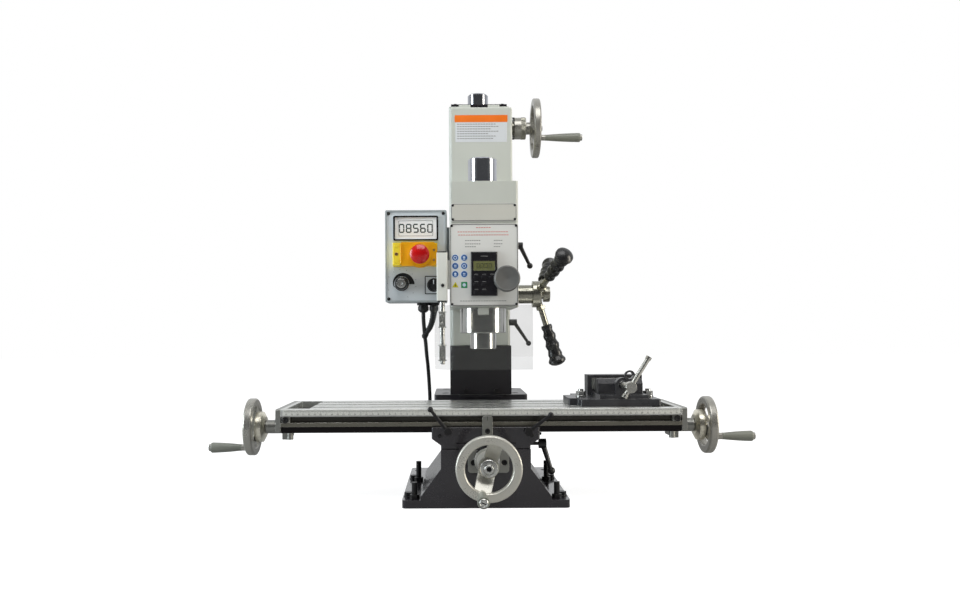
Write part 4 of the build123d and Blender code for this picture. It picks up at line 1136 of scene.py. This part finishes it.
# ---- Cables ----
gland_x, gland_y, gland_z = (-112 * MM, 45 * MM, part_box("control_box")[0].z)
second_x = -92 * MM
bm = bmesh.new()
for x, size in ((gland_x, 10.5), (second_x, 9.0)):
    place = facing((x, gland_y, gland_z), DOWN)
    lathe(
        bm,
        place,
        (
            (0, -0.1), (size, -0.1, 6), (size, 4.6, 6), (size * 0.86, 5.2), (size * 0.86, 6.4),
            (size * 0.98, 7.0, "knurl"), (size * 0.98, 14, "knurl"), (size * 0.7, 17),
            (size * 0.5, 18.5), (0, 18.5),
        ),
        48,
    )


def corrugated(radius, length):
    """A flexible sleeve whose ribs shrink towards its end."""
    return lambda run: radius * (1 - 0.35 * min(run / length, 1)) + 0.75 * (int(run / 2.2) % 2)


main_path = [Vector((x * MM, y * MM, z * MM)) for x, y, z in (
    (-112, 45, 343), (-112, 47, 328), (-110.5, 60, 300), (-109.5, 92, 281), (-109, 130, 258),
    (-107, 160, 226), (-104.5, 169, 175), (-104, 170, 130), (-104, 170, 105),
)]
tube(bm, smooth_path(main_path, 10), 3.7)
sleeve_path = [Vector((x * MM, y * MM, z * MM)) for x, y, z in (
    (-92, 45, 344), (-94, 46, 330), (-99, 50, 314), (-105.5, 56, 304), (-109.5, 62, 297),
)]
tube(bm, smooth_path(sleeve_path, 16), corrugated(6.0, 60))
sleeve_end = facing(sleeve_path[-1], (sleeve_path[-1] - sleeve_path[-2]).normalized())
lathe(bm, sleeve_end, ((0, -4), (5.6, -4), (5.8, 3), (4.2, 6), (0, 6.4)), 24)
cables = piece("control_cable", bm, [cable_rubber], "head")
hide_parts("control_cables")

# ---- Vise ----
vise_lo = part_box("vise_body")[0]
jaw_lo, jaw_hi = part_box("vise_jaw")
fixed_jaw_y = 30 * MM
for name, y, normal, body in (
    ("fixed_jaw_plate", fixed_jaw_y, FRONT, "table"),
    ("moving_jaw_plate", jaw_hi.y, BACK, "vise_jaw"),
):
    bm = bmesh.new()
    place = facing(((jaw_lo.x + jaw_hi.x) / 2, y, jaw_lo.z + 15 * MM), normal)
    plate(bm, place, rounded(86, 20, 1), 0, 0.42, 0.12)
    for x in (-28, 28):
        # Screw holes in the jaw plate in near black: painted shade.
        lathe(bm, shifted(place, x=x, z=0.3), ((0, 0.14), (3.4, 0.14), (3.6, 0.0)), 24, 1)
    piece(name, bm, [bracket_steel, recess_shade_and_ink], body)

vise_screw_middle = spot("vise_screw")
bm = bmesh.new()
place = facing((vise_screw_middle.x, vise_lo.y, vise_screw_middle.z), FRONT)
bush = (
    (6.05, -12), (7.9, -12), (7.9, 0.1), (9.4, 0.1), (9.4, 1.0), (8.9, 1.4), (6.05, 1.4),
    (6.05, -12),
)
lathe(bm, place, bush, 36)
piece("vise_screw_bush", bm, [vise_paint], "table")

# ---- Light, floor and camera ----
scene = bpy.context.scene
scene.view_settings.view_transform = "Standard"
scene.view_settings.look = "None"

world = bpy.data.worlds.new("studio")
scene.world = world
world.use_nodes = True
tree = world.node_tree
tree.nodes.clear()
direction = node(tree, "TexCoord").outputs["Generated"]
axes = node(tree, "SeparateXYZ", {0: direction})
front_share = spread(tree, axes.outputs[1], 0.10, 0.9, -0.7, 0.6)
height_share = spread(tree, axes.outputs[2], 0.8, 1.05, -0.2, 0.9)
level = node(tree, "Math", {0: front_share, 1: height_share}, operation="MULTIPLY").outputs[0]
room = node(tree, "Background", {"Color": (0.97, 0.985, 1.0, 1.0), "Strength": level}).outputs[0]
backdrop = node(tree, "Background", {"Color": (1.0, 1.0, 1.0, 1.0), "Strength": 1.0}).outputs[0]
seen = node(tree, "LightPath").outputs["Is Camera Ray"]
chosen = node(tree, "MixShader", {0: seen, 1: room, 2: backdrop}).outputs[0]
node(tree, "OutputWorld", {0: chosen})


def softbox(name, place, target, width, height, power, colour):
    """A large soft lamp that looks at a point."""
    lamp = bpy.data.lights.new(name, "AREA")
    lamp.shape = "RECTANGLE"
    lamp.size, lamp.size_y = width, height
    lamp.energy = power
    lamp.color = colour
    holder = bpy.data.objects.new(name, lamp)
    scene.collection.objects.link(holder)
    holder.location = place
    aim = Vector(target) - Vector(place)
    holder.rotation_euler = aim.to_track_quat("-Z", "Y").to_euler()


middle = (0, 0.05, 0.4)
softbox("soft_left", (-2.1, -0.5, 0.6), middle, 0.7, 1.8, 40, (0.86, 0.95, 1.0))
softbox("soft_right", (2.1, -0.65, 0.6), middle, 0.6, 1.7, 34, (1.0, 0.94, 0.82))
softbox("soft_top", (0.1, -1.0, 2.2), middle, 1.8, 1.2, 26, (1.0, 1.0, 1.0))

floor_mesh = bpy.data.meshes.new("studio_floor")
floor_bm = bmesh.new()
bmesh.ops.create_grid(floor_bm, x_segments=8, y_segments=8, size=8.0)
floor_bm.to_mesh(floor_mesh)
floor_bm.free()
floor = bpy.data.objects.new("studio_floor", floor_mesh)
floor.location.z = cad_box[0].z - 0.0002
scene.collection.objects.link(floor)
floor_paint = bpy.data.materials.new("floor_paint")
floor_paint.use_nodes = True
tree = floor_paint.node_tree
tree.nodes.clear()
seen = node(tree, "LightPath").outputs["Is Camera Ray"]
strength = node(tree, "Math", {0: seen, 1: 0.86}, operation="MULTIPLY").outputs[0]
glow = node(tree, "Emission", {"Color": (1, 1, 1, 1), "Strength": strength}).outputs[0]
matt = node(tree, "BsdfDiffuse", {"Color": (0.4, 0.4, 0.4, 1)}).outputs[0]
node(tree, "OutputMaterial", {0: node(tree, "AddShader", {0: glow, 1: matt}).outputs[0]})
floor_mesh.materials.append(floor_paint)

camera_data = bpy.data.cameras.new("camera")
camera_data.sensor_width = 36
camera_data.lens = 31.3
camera_data.shift_x = 0.026
camera_data.shift_y = 0.03125
camera_data.clip_end = 100
camera = bpy.data.objects.new("camera", camera_data)
camera.location = (-0.052, -1.544, 0.307)
camera.rotation_euler = (radians(90), radians(0.3), 0)
scene.collection.objects.link(camera)
scene.camera = camera
